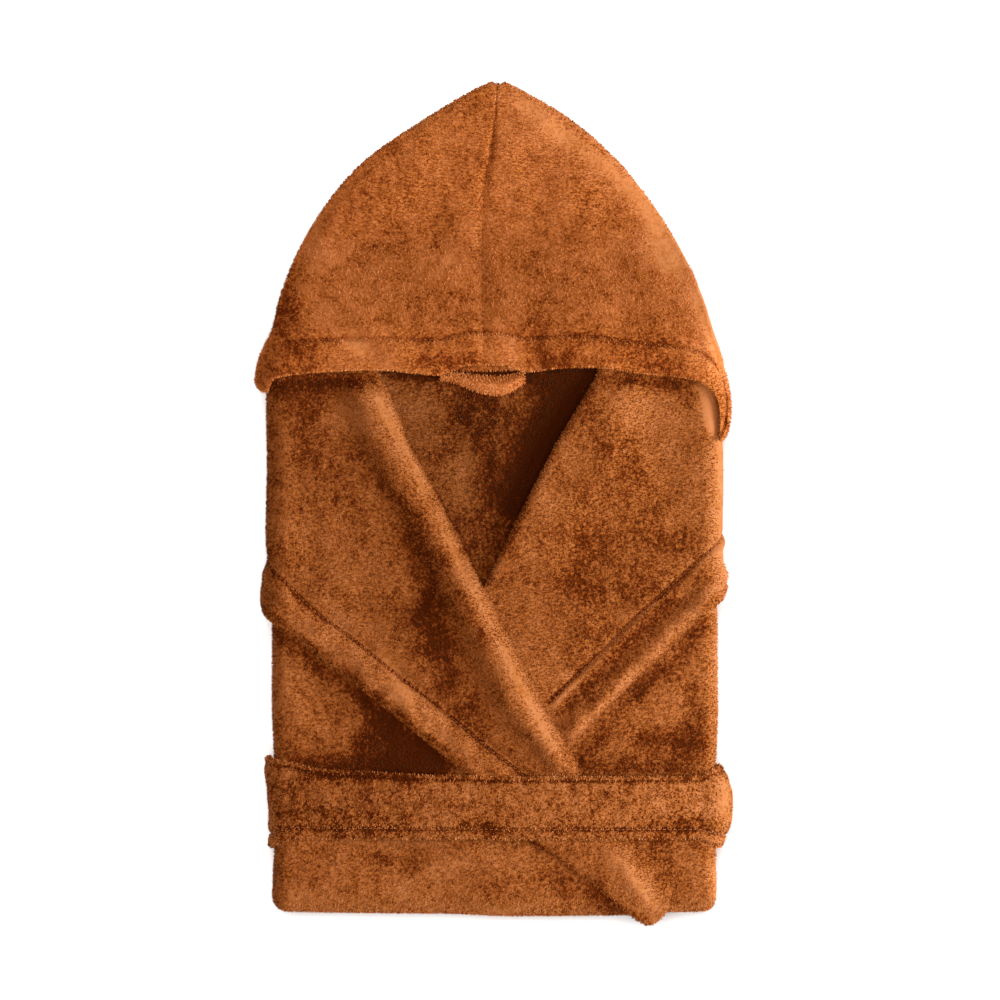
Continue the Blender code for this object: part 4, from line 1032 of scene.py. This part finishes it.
def read(tree, kind, output, inputs=None, **settings):
    """The output of a new node."""
    return node(tree, kind, inputs or {}, **settings).outputs[output]


def new_group(name, kind, inputs, outputs):
    """A node group with named inputs and outputs, each (name, socket type, default or None). Returns it, what it
    is given, and what it puts out."""
    tree = bpy.data.node_groups.new(name, kind)
    for direction, sockets in (("INPUT", inputs), ("OUTPUT", outputs)):
        for label, socket_type, default in sockets:
            made = tree.interface.new_socket(label, in_out=direction, socket_type="NodeSocket" + socket_type)
            if default is not None:
                made.default_value = default
    return tree, tree.nodes.new("NodeGroupInput").outputs, tree.nodes.new("NodeGroupOutput").inputs


def maths(tree, operation, first, second, clamp=False):
    return read(tree, "ShaderNodeMath", "Value", {0: first, 1: second}, operation=operation, use_clamp=clamp)


def vectors(tree, operation, first, second, socket=1):
    return read(tree, "ShaderNodeVectorMath", "Vector", {0: first, socket: second}, operation=operation)


def cloud(tree, vector, size, detail, seed, distortion=0.0):
    """Noise with patches about this size, in metres."""
    values = {"Vector": vector, "W": seed, "Scale": 1.0 / size, "Detail": detail, "Roughness": 0.62,
              "Distortion": distortion}
    return read(tree, "ShaderNodeTexNoise", "Fac", values, noise_dimensions="4D")


def colour_ramp(tree, shade, *stops):
    """The colour along these stops, each (place, colour)."""
    ramp = node(tree, "ShaderNodeValToRGB", {"Fac": shade})
    steps = ramp.color_ramp.elements
    for step, stop in ((steps[0], stops[0]), (steps[1], stops[-1])):
        step.position, step.color = stop
    for place, colour in stops[1:-1]:
        steps.new(place).color = colour
    return ramp.outputs["Color"]


def new_finish(name, values):
    """A new material with these values on its shader. Returns it, its nodes and the shader's inputs."""
    made = bpy.data.materials.new(name)
    made.use_nodes = True
    shader = made.node_tree.nodes["Principled BSDF"].inputs
    for label, value in values.items():
        shader[label].default_value = value
    return made, made.node_tree, shader


def nap_and_painted_light_group():
    """How terry's tone varies: large patches where the pile lies one way or the other, broken up by clumps and by
    single tufts, with the painted light and shade of the strokes added on. Shade runs from 0, turned-away pile and
    painted shade, to 1, brushed-up pile and painted highlight."""
    tree, given, result = new_group(
        "brushed_nap", "ShaderNodeTree",
        (("Vector", "Vector", None), ("Patches", "Float", 0.5), ("Clumps", "Float", 0.5), ("Tufts", "Float", 0.5),
         ("Brushed", "Float", 0.0)),
        (("Shade", "Float", None), ("Height", "Float", None)),
    )
    place = vectors(tree, "MULTIPLY", given["Vector"], (1.0, 0.75, 1.0))
    parts = {
        "Patches": cloud(tree, place, PATCH, 4.0, 1.3, 0.4),
        "Clumps": cloud(tree, place, CLUMP, 4.0, 4.1, 0.4),
        "Tufts": cloud(tree, given["Vector"], TUFT, 2.0, 7.7),
    }
    scaled = [maths(tree, "MULTIPLY", maths(tree, "SUBTRACT", part, 0.5), given[name]) for name, part in parts.items()]
    total = maths(tree, "ADD", maths(tree, "ADD", scaled[0], scaled[1]), scaled[2])
    shade = maths(tree, "ADD", total, maths(tree, "ADD", given["Brushed"], 0.5), clamp=True)
    tree.links.new(shade, result["Shade"])
    height = [maths(tree, "MULTIPLY", parts[name], share) for name, share in (("Tufts", 0.6), ("Clumps", 0.8))]
    tree.links.new(maths(tree, "ADD", *height), result["Height"])
    return tree


def terry(name, nap, look, tint, patches, clumps, tufts, deep=1.0):
    """Terry: its colour goes from painted shade deep in the pile to the tips, and from dark to light with the pile's
    random tone and the painted light and shade of the strokes.
    """
    made, tree, shader = new_finish(name, {
        "Roughness": 0.95, "Specular IOR Level": 0.0, "Sheen Weight": look.sheen, "Sheen Roughness": 0.45,
        "Sheen Tint": (1.0, 0.6, 0.36, 1.0),
    })
    # Strokes of painted light and shade, the tufts' own random tone, and how near to a tuft's tip a point is
    painted_strokes, tone, tip = (
        read(tree, "ShaderNodeAttribute", "Fac", attribute_name=label) for label in ("nap", "tone", "tip")
    )
    toned_and_painted = node(tree, "ShaderNodeGroup", {
        "Vector": read(tree, "ShaderNodeTexCoord", "Object"), "Patches": patches, "Clumps": clumps, "Tufts": tufts,
        "Brushed": maths(tree, "ADD", painted_strokes, maths(tree, "MULTIPLY", tone, 0.5 * tufts)),
    }, node_tree=nap).outputs
    dark, middle, light = ([c * tint for c in colour] for colour in (look.dark, look.middle, look.light))
    # The lowest stop, half the dark colour, is the deepest painted shade
    stops = ((0.0, [c * 0.5 for c in dark]), (0.2, dark), (0.5, middle), (0.92, light))
    colour = colour_ramp(tree, toned_and_painted["Shade"], *((place, (*colour, 1.0)) for place, colour in stops))
    # Painted shade at the roots of the pile and on the cloth between the tufts, which has no tip
    depth = read(tree, "ShaderNodeMapRange", "Result", {"Value": tip, "To Min": look.root_shade * deep})
    shaded = read(tree, "ShaderNodeMix", "Result", {"Factor": 1.0, "A": colour, "B": depth},
                  data_type="RGBA", blend_type="MULTIPLY")
    tree.links.new(shaded, shader["Base Color"])
    bump = {"Strength": 0.6, "Distance": 0.0012, "Height": toned_and_painted["Height"]}
    tree.links.new(read(tree, "ShaderNodeBump", "Normal", bump), shader["Normal"])
    return made


def thread(name, colour):
    """Sewing thread, with a fine twist."""
    made, tree, shader = new_finish(name, {"Roughness": 0.6})
    twist = cloud(tree, read(tree, "ShaderNodeTexCoord", "Object"), 0.0006, 1.0, 2.0)
    stops = ((place, (*(c * share for c in colour), 1.0)) for place, share in ((0.0, 0.6), (1.0, 1.2)))
    tree.links.new(colour_ramp(tree, twist, *stops), shader["Base Color"])
    return made


def copies(tree, points, shape, heading, size, finish, result, above_shelf=False):
    """Ends a tree with real copies of a shape on points: its Z turned to a heading, its size given by axis."""
    stand = read(tree, "FunctionNodeAlignRotationToVector", "Rotation", {"Vector": heading}, axis="Z")
    scale = read(tree, "ShaderNodeCombineXYZ", "Vector", dict(zip("XYZ", size)))
    placed = read(tree, "GeometryNodeInstanceOnPoints", "Instances",
                  {"Points": points, "Instance": shape, "Rotation": stand, "Scale": scale})
    real = read(tree, "GeometryNodeRealizeInstances", "Geometry", {"Geometry": placed})
    if above_shelf:
        at = place_of(tree)
        above = dict(zip("XYZ", (at["X"], at["Y"], maths(tree, "MAXIMUM", at["Z"], 0.0))))
        real = read(tree, "GeometryNodeSetPosition", "Geometry",
                    {"Geometry": real, "Position": read(tree, "ShaderNodeCombineXYZ", "Vector", above)})
    done = read(tree, "GeometryNodeSetMaterial", "Geometry", {"Geometry": real, "Material": finish})
    tree.links.new(done, result[0])


def place_of(tree):
    """Each point's place, by axis."""
    place = read(tree, "GeometryNodeInputPosition", "Position")
    return node(tree, "ShaderNodeSeparateXYZ", {"Vector": place}).outputs


def stored(tree, geometry, name, value):
    """The geometry with an attribute on its points."""
    values = {"Geometry": geometry, "Name": name, "Value": value}
    return read(tree, "GeometryNodeStoreNamedAttribute", "Geometry", values, data_type="FLOAT", domain="POINT")


def random_value(tree, low, high, seed):
    return read(tree, "FunctionNodeRandomValue", 1, {2: low, 3: high, "Seed": seed}, data_type="FLOAT")


def pile_tree():
    """Terry pile: closed three-sided tufts on the cloth faces whose pile attribute is 1. They lean this way and
    that in clumps, stay above the shelf, and carry a tone of their own and how near each point is to its tuft's
    tip."""
    tree, given, result = new_group(
        "terry_pile", "GeometryNodeTree",
        (("Cloth", "Geometry", None), ("Pitch", "Float", 0.0014), ("Length", "Float", 0.0026),
         ("Width", "Float", 0.0011), ("Lean", "Float", 0.8), ("Seed", "Int", 1), ("Finish", "Material", None)),
        (("Pile", "Geometry", None),),
    )
    density = maths(tree, "DIVIDE", 1.0, maths(tree, "MULTIPLY", given["Pitch"], given["Pitch"]))
    shows = read(tree, "GeometryNodeInputNamedAttribute", "Attribute", {"Name": "pile"}, data_type="FLOAT")
    scatter = node(tree, "GeometryNodeDistributePointsOnFaces", {
        "Mesh": given["Cloth"], "Density": maths(tree, "MULTIPLY", density, shows), "Seed": given["Seed"],
    }).outputs
    clumps = read(tree, "ShaderNodeTexNoise", "Color", {"W": 3.0, "Scale": 1.0 / 0.006, "Detail": 2.0},
                  noise_dimensions="4D")
    lean = vectors(tree, "SUBTRACT", clumps, (0.5, 0.58, 0.5))
    leaned = vectors(tree, "SCALE", lean, maths(tree, "MULTIPLY", given["Lean"], 3.2), "Scale")
    flat = vectors(tree, "SUBTRACT", leaned, vectors(tree, "PROJECT", leaned, scatter["Normal"]))
    tuft = read(tree, "GeometryNodeMeshCone", "Mesh", {"Vertices": 3, "Radius Bottom": 0.5, "Depth": 1.0})
    vary = random_value(tree, 0.6, 1.25, 11)
    wide, tall = (maths(tree, "MULTIPLY", given[name], vary) for name in ("Width", "Length"))
    copies(
        tree, stored(tree, scatter["Points"], "tone", random_value(tree, -0.5, 0.5, 23)),
        stored(tree, tuft, "tip", place_of(tree)["Z"]), vectors(tree, "ADD", scatter["Normal"], flat),
        (wide, wide, tall), given["Finish"], result, above_shelf=True,
    )
    return tree


def stitch_tree():
    """Sewing stitches: short closed threads laid end to end along each line of an edge mesh."""
    tree, given, result = new_group(
        "sewing_stitches", "GeometryNodeTree",
        (("Lines", "Geometry", None), ("Pitch", "Float", 0.0042), ("Length", "Float", 0.0031),
         ("Thickness", "Float", 0.0008), ("Finish", "Material", None)),
        (("Stitches", "Geometry", None),),
    )
    curve = read(tree, "GeometryNodeMeshToCurve", "Curve", {"Mesh": given["Lines"]})
    line = node(tree, "GeometryNodeCurveToPoints", {"Curve": curve, "Length": given["Pitch"]}, mode="LENGTH").outputs
    stitch = read(tree, "GeometryNodeMeshUVSphere", "Mesh", {"Segments": 6, "Rings": 5, "Radius": 0.5})
    size = (given["Thickness"], given["Thickness"], given["Length"])
    copies(tree, line["Points"], stitch, line["Tangent"], size, given["Finish"], result)
    return tree


def grown(base, name, tree, slot, **values):
    """The plain mesh piece that a Geometry Nodes tree grows on a base object; the base is left as it is."""
    modifier = base.modifiers.new("grow", "NODES")
    modifier.node_group = tree
    for item in tree.interface.items_tree:
        label = item.name.lower()
        if item.in_out == "INPUT" and label in values:
            modifier[item.identifier] = values[label]
    bpy.context.view_layer.update()
    shown = base.evaluated_get(bpy.context.evaluated_depsgraph_get())
    mesh = bpy.data.meshes.new_from_object(shown)
    base.modifiers.remove(modifier)
    if not mesh.polygons:
        raise RuntimeError(f"nothing grew on {base.name}")
    mesh.materials.clear()
    mesh.materials.append(values["finish"])
    mesh.polygons.foreach_set("material_index", [0] * len(mesh.polygons))
    mesh.name = name
    mesh.shade_flat()
    piece = new_object(name, mesh)
    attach(piece, "root")
    return piece


def find_near(points):
    """A tree of points, in the robe's own millimetres, to find the nearest."""
    near = KDTree(len(points))
    for i, point in enumerate(points):
        near.insert(point, i)
    near.balance()
    return near


def paint_nap_and_light(name, piece, seams):
    """Paints the strokes of painted light and shade, partly nap, into a piece's cloth, with painted shade along the
    stitch lines, for its finish to show and its pile to take on.
    """
    near = find_near(seams)
    nap = piece.data.attributes.new("nap", "FLOAT", "POINT")
    values = []
    for vertex in piece.data.vertices:
        at = vertex.co / MM + MIDDLE
        value = soft_creases(NAP_AND_PAINTED_LIGHT.get(name, ()), at.x, at.y)
        # Painted shade in the grooves of the stitch lines
        values.append(value - SEAM_PAINTED_SHADE.get(name, 0.5) * bell(near.find(at)[2], 0.0, SEAM_SHADE_REACH))
    nap.data.foreach_set("value", values)


def mark_pile(pieces, seams):
    """Gives each face a pile attribute: 0 where other cloth covers it, on the floor and in the stitch lines, little
    under strokes of painted highlight, where the cloth is left smooth, and 1 where pile stands."""
    points, faces = [], []
    for piece in pieces:
        first = len(points)
        points += [vertex.co for vertex in piece.data.vertices]
        faces += [[first + v for v in face.vertices] for face in piece.data.polygons]
    cover = BVHTree.FromPolygons(points, faces)
    stitches = find_near(seams)
    for piece in pieces:
        shows = piece.data.attributes.new("pile", "FLOAT", "FACE")
        nap = piece.data.attributes["nap"].data
        values = []
        for face in piece.data.polygons:
            clear = 0.1 if face.normal.z < -0.5 else 0.5  # the next layer is nearest underneath
            start = face.center + face.normal * clear * MM
            hit = cover.ray_cast(start, face.normal, PILE_COVER * MM)[0] and cover.ray_cast(start, Vector((0, 0, 1)))[0]
            on_floor = face.normal.z < -0.6 and face.center.z < 7 * MM
            sewn = stitches.find(face.center / MM + MIDDLE)[2] < SEAM_BARE
            # Painted highlight strokes thin the pile and leave the cloth smooth there
            painted_highlight = sum(nap[v].value for v in face.vertices) / len(face.vertices)
            values.append(0.0 if hit is not None or on_floor or sewn else 1.0 - smooth(painted_highlight, *BARE_UNDER_HIGHLIGHT))
        shows.data.foreach_set("value", values)


# What a user can change

def colour_choice(**facts):
    return FloatVectorProperty(subtype="COLOR", min=0.0, max=1.0, **facts)


def length_choice(**facts):
    return FloatProperty(unit="LENGTH", **facts)


def share_choice(**facts):
    return FloatProperty(subtype="FACTOR", min=0.0, **facts)


class RobeTerry(PropertyGroup):
    """Colours and pile of the terry."""

    # Dark and light also colour the painted shade and painted highlights of the strokes
    dark: colour_choice(
        name="Turned Nap", description="Colour where the pile lies away from the light", default=(0.18, 0.034, 0.004)
    )
    middle: colour_choice(name="Terracotta", description="Colour of the terry", default=(0.43, 0.14, 0.031))
    light: colour_choice(
        name="Brushed Nap", description="Colour where the pile is brushed up", default=(0.58, 0.228, 0.085)
    )
    root_shade: share_choice(name="Root Shade", description="How dark the pile is at its roots", default=0.62, max=1.0)
    sheen: share_choice(name="Sheen", description="Soft shine of the pile at grazing angles", default=0.1, max=1.0)
    pitch: length_choice(
        name="Tuft Pitch", description="Distance between tufts", default=0.00132, min=0.0012, max=0.01
    )
    length: length_choice(name="Tuft Length", description="Length of the pile", default=0.0015, min=0.0005, max=0.006)
    width: length_choice(name="Tuft Width", description="Thickness of a tuft", default=0.001, min=0.0002, max=0.004)
    lean: share_choice(name="Lean", description="How far the tufts lean away from upright", default=0.36, max=2.0)
    seed: IntProperty(name="Seed", description="Which random places the tufts take", default=5, min=0, max=999)


class RobeSewing(PropertyGroup):
    """The stitch lines."""

    colour: colour_choice(name="Thread", description="Colour of the sewing thread", default=(0.42, 0.13, 0.035))
    pitch: length_choice(
        name="Stitch Pitch", description="Distance between stitches", default=0.0042, min=0.001, max=0.02
    )
    length: length_choice(
        name="Stitch Length", description="Length of a stitch", default=0.0032, min=0.001, max=0.02
    )
    thickness: length_choice(
        name="Thread Thickness", description="Thickness of the thread", default=0.0008, min=0.0002, max=0.003
    )


class RobeStage(PropertyGroup):
    """Floor, light and camera."""

    floor: colour_choice(name="Floor", description="Colour of the floor", default=(0.9, 0.9, 0.9))
    key: FloatProperty(
        name="Key Light", description="Power of the light at the right", unit="POWER", default=120.0, min=0.0, max=900.0
    )
    fill: FloatProperty(
        name="Room Light", description="Strength of the light from all round", default=0.06, min=0.0, max=5.0
    )
    lens: FloatProperty(name="Lens", description="Focal length in millimetres", default=600.0, min=50.0, max=800.0)
    view_width: length_choice(
        name="View Width", description="Width of the picture at the robe's top", default=0.8, min=0.3, max=3.0
    )


PIECES, PILE, SEWING, SEAMS = {}, {}, {}, {}  # what the steps have made, by piece


def report_built(operator):
    """The operator's result, once the pieces that it names are there."""
    for name in operator.makes:
        if name not in bpy.data.objects:
            raise RuntimeError(f"{operator.bl_idname} didn't make {name}")
    return {"FINISHED"}


class ROBE_OT_hidden_layers(Operator):
    """Lay the folded hidden layers and the back's neck"""

    bl_idname = "robe.hidden_layers"
    bl_label = "Hidden Layers and Back"
    makes = ("cloth_folded_layers", "cloth_back")

    def execute(self, context):
        PIECES["folded_layers"] = build_folded_layers()
        PIECES["back"] = build_back()
        return report_built(self)


class ROBE_OT_fronts(Operator):
    """Lay the two fronts round the sides and the skirt fold"""

    bl_idname = "robe.fronts"
    bl_label = "Fronts"
    makes = ("cloth_front_right", "cloth_front_left")

    def execute(self, context):
        PIECES["front_right"] = build_front(
            "front_right", 1, right_front_edge, lambda across, along: -right_sink(across, along)
        )
        PIECES["front_left"] = build_front("front_left", -1, left_front_edge, left_rise)
        return report_built(self)


class ROBE_OT_collars(Operator):
    """Turn back the two collars, with their rolls and hems"""

    bl_idname = "robe.collars"
    bl_label = "Collars"
    makes = ("cloth_collar_left", "cloth_collar_right")

    def execute(self, context):
        def left_loft(along):
            pressed = smooth(along, 84, 104) + smooth(-along, 200, 222)
            return LEFT_LOFT * (1 - 0.88 * min(pressed, 1.0))

        def right_loft(along):
            return RIGHT_LOFT * (1 - 0.82 * smooth(along, 84, 104)) * smooth(along, CROSSING_Y, -20)

        PIECES["collar_left"], SEAMS["collar_left"] = build_collar(
            "collar_left", -1, left_roll, -260, left_loft, lambda along: 1.0, left_rise,
            lambda place, along: 1.0, COLLAR_LEFT_CREASES,
        )
        PIECES["collar_right"], SEAMS["collar_right"] = build_collar(
            "collar_right", 1, right_collar_edge, -200, right_loft,
            lambda along: smooth(along, CROSSING_Y + 2, -52), lambda place, along: 0.0,
            lambda place, along: smooth(place - left_roll(along), 2, 16), COLLAR_RIGHT_CREASES,
        )
        return report_built(self)


class ROBE_OT_hood(Operator):
    """Spread the hood's two halves above the neck, and hang the loop at its seam"""

    bl_idname = "robe.hood"
    bl_label = "Hood and Loop"
    makes = ("cloth_hood_left", "cloth_hood_right", "cloth_hang_loop")

    def execute(self, context):
        for name, outlines in (
            ("hood_left", (HOOD_LEFT, MOUTH_LEFT, UNDER_LEFT)), ("hood_right", (HOOD_RIGHT, MOUTH_RIGHT, UNDER_RIGHT))
        ):
            PIECES[name], SEAMS[name] = build_hood(name, *outlines)
        PIECES["hang_loop"] = build_hang_loop()
        return report_built(self)


class ROBE_OT_belt(Operator):
    """Wrap the belt round the bundle, with its free end"""

    bl_idname = "robe.belt"
    bl_label = "Belt"
    makes = ("cloth_belt", "cloth_belt_tail")

    def execute(self, context):
        PIECES["belt"], lines = build_belt()
        SEAMS["belt_lower"], SEAMS["belt_upper"] = lines
        PIECES["belt_tail"] = build_belt_tail()
        return report_built(self)


class ROBE_OT_terry(Operator):
    """Give the cloth its terry finish, and grow pile on all of it that shows"""

    bl_idname = "robe.terry"
    bl_label = "Terry and Pile"
    makes = ("pile_front_left", "pile_belt")

    def execute(self, context):
        look = context.scene.robe_terry
        nap = nap_and_painted_light_group()
        finishes = {name: terry(name, nap, look, *values) for name, values in TERRIES.items()}
        sewn = [point for line in SEAMS.values() for point in line]
        for name, piece in PIECES.items():
            paint_nap_and_light(name, piece, sewn)
        mark_pile(PIECES.values(), sewn)
        tree = pile_tree()
        for number, (name, piece) in enumerate(PIECES.items()):
            finish = finishes[FINISH_OF.get(name, "terry_body")]
            piece.data.materials.append(finish)
            coarse = BELT_COARSE if name == "belt" else 1.0
            sparse = HIDDEN_SPARSE if name == "folded_layers" else coarse
            PILE[name] = grown(
                piece, "pile_" + name, tree, name, pitch=look.pitch * sparse, length=look.length,
                width=look.width * coarse, lean=look.lean, seed=look.seed + number, finish=finish,
            )
        return report_built(self)


class ROBE_OT_sewing(Operator):
    """Sew the stitch lines of hems, hood seam and belt"""

    bl_idname = "robe.sewing"
    bl_label = "Sewing"
    makes = ("sewing_collar_left", "sewing_hood_left", "sewing_belt")

    def execute(self, context):
        look = context.scene.robe_sewing
        finish = thread("sewing_thread", look.colour)
        tree = stitch_tree()
        for name in ("collar_left", "collar_right", "hood_left", "hood_right", "belt"):
            bm = bmesh.new()
            for line in (line for key, line in SEAMS.items() if key.startswith(name)):
                verts = [bm.verts.new((point - MIDDLE) * MM) for point in line]
                for first, second in zip(verts, verts[1:]):
                    bm.edges.new((first, second))
            base = new_object("lines_" + name, new_mesh("lines_" + name, bm))
            SEWING[name] = grown(
                base, "sewing_" + name, tree, name, pitch=look.pitch, length=look.length,
                thickness=look.thickness, finish=finish,
            )
            bpy.data.objects.remove(base)
        return report_built(self)


class ROBE_OT_stage(Operator):
    """Set the pale floor, the soft light and the camera straight above"""

    bl_idname = "robe.stage"
    bl_label = "Floor, Light and Camera"
    makes = ("floor", "camera_above")

    def execute(self, context):
        look, scene = context.scene.robe_stage, context.scene
        scene.view_settings.view_transform = "Standard"
        pale = (*look.floor, 1.0)
        bm = bmesh.new()
        bmesh.ops.create_grid(bm, x_segments=1, y_segments=1, size=FLOOR_HALF)
        floor = new_object("floor", new_mesh("floor", bm))
        floor.location.z = -FLOOR_DROP
        floor.data.materials.append(new_finish("floor_paint", {"Base Color": pale, "Roughness": 0.9})[0])
        floor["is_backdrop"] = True
        room = scene.world = bpy.data.worlds.new("studio")
        room.use_nodes = True
        tree = room.node_tree
        glow = tree.nodes["Background"]
        glow.inputs["Color"].default_value, glow.inputs["Strength"].default_value = (*WARM, 1.0), look.fill
        seen = read(tree, "ShaderNodeLightPath", "Is Camera Ray")
        backdrop = read(tree, "ShaderNodeBackground", "Background", {"Color": pale})
        mix = read(tree, "ShaderNodeMixShader", "Shader", {"Fac": seen, 1: glow.outputs["Background"], 2: backdrop})
        tree.links.new(mix, tree.nodes["World Output"].inputs["Surface"])
        lit = {"robe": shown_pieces(), "floor": [floor]}
        for name, pieces in lit.items():
            lit[name] = bpy.data.collections.new("lit_" + name)
            for piece in pieces:
                lit[name].objects.link(piece)
        for name, place, size, power, colour, lights in LIGHTS:
            lamp = bpy.data.lights.new(name, "AREA")
            lamp.shape, lamp.size, lamp.energy, lamp.color = "DISK", size, look.key * power, colour
            light = new_object(name, lamp)
            light.location = place
            light.rotation_euler = (-Vector(place)).to_track_quat("-Z", "Y").to_euler()
            light.light_linking.receiver_collection = lit[lights]
        camera = bpy.data.cameras.new("camera_above")
        camera.lens, camera.clip_start, camera.clip_end = look.lens, 0.1, 50.0
        eye = scene.camera = new_object("camera_above", camera)
        eye.location = (*VIEW_CENTRE, ROBE_TOP + look.view_width * look.lens / camera.sensor_width)
        return report_built(self)


GROUPS = {"robe_terry": RobeTerry, "robe_sewing": RobeSewing, "robe_stage": RobeStage}
STEPS = (
    ROBE_OT_hidden_layers, ROBE_OT_fronts, ROBE_OT_collars, ROBE_OT_hood, ROBE_OT_belt, ROBE_OT_terry,
    ROBE_OT_sewing, ROBE_OT_stage,
)


class ROBE_PT_robe(Panel):
    """The robe's steps and what can be changed"""

    bl_idname = "ROBE_PT_robe"
    bl_label = "Folded Robe"
    bl_space_type = "VIEW_3D"
    bl_region_type = "UI"
    bl_category = "Robe"

    def draw(self, context):
        layout = self.layout
        for step in STEPS:
            layout.operator(step.bl_idname)
        for name in GROUPS:
            group = getattr(context.scene, name)
            box = layout.box()
            box.label(text=name.split("_")[1].title())
            for key in group.__annotations__:
                box.prop(group, key)


CLASSES = (*GROUPS.values(), *STEPS, ROBE_PT_robe)


def register():
    for kind in CLASSES:
        bpy.utils.register_class(kind)
    for name, group in GROUPS.items():
        setattr(bpy.types.Scene, name, PointerProperty(type=group))


def unregister():
    for name in GROUPS:
        delattr(bpy.types.Scene, name)
    for kind in reversed(CLASSES):
        bpy.utils.unregister_class(kind)


def main():
    register()
    for step in STEPS:
        group, name = step.bl_idname.split(".")
        getattr(getattr(bpy.ops, group), name)()


if __name__ == "__main__":
    main()
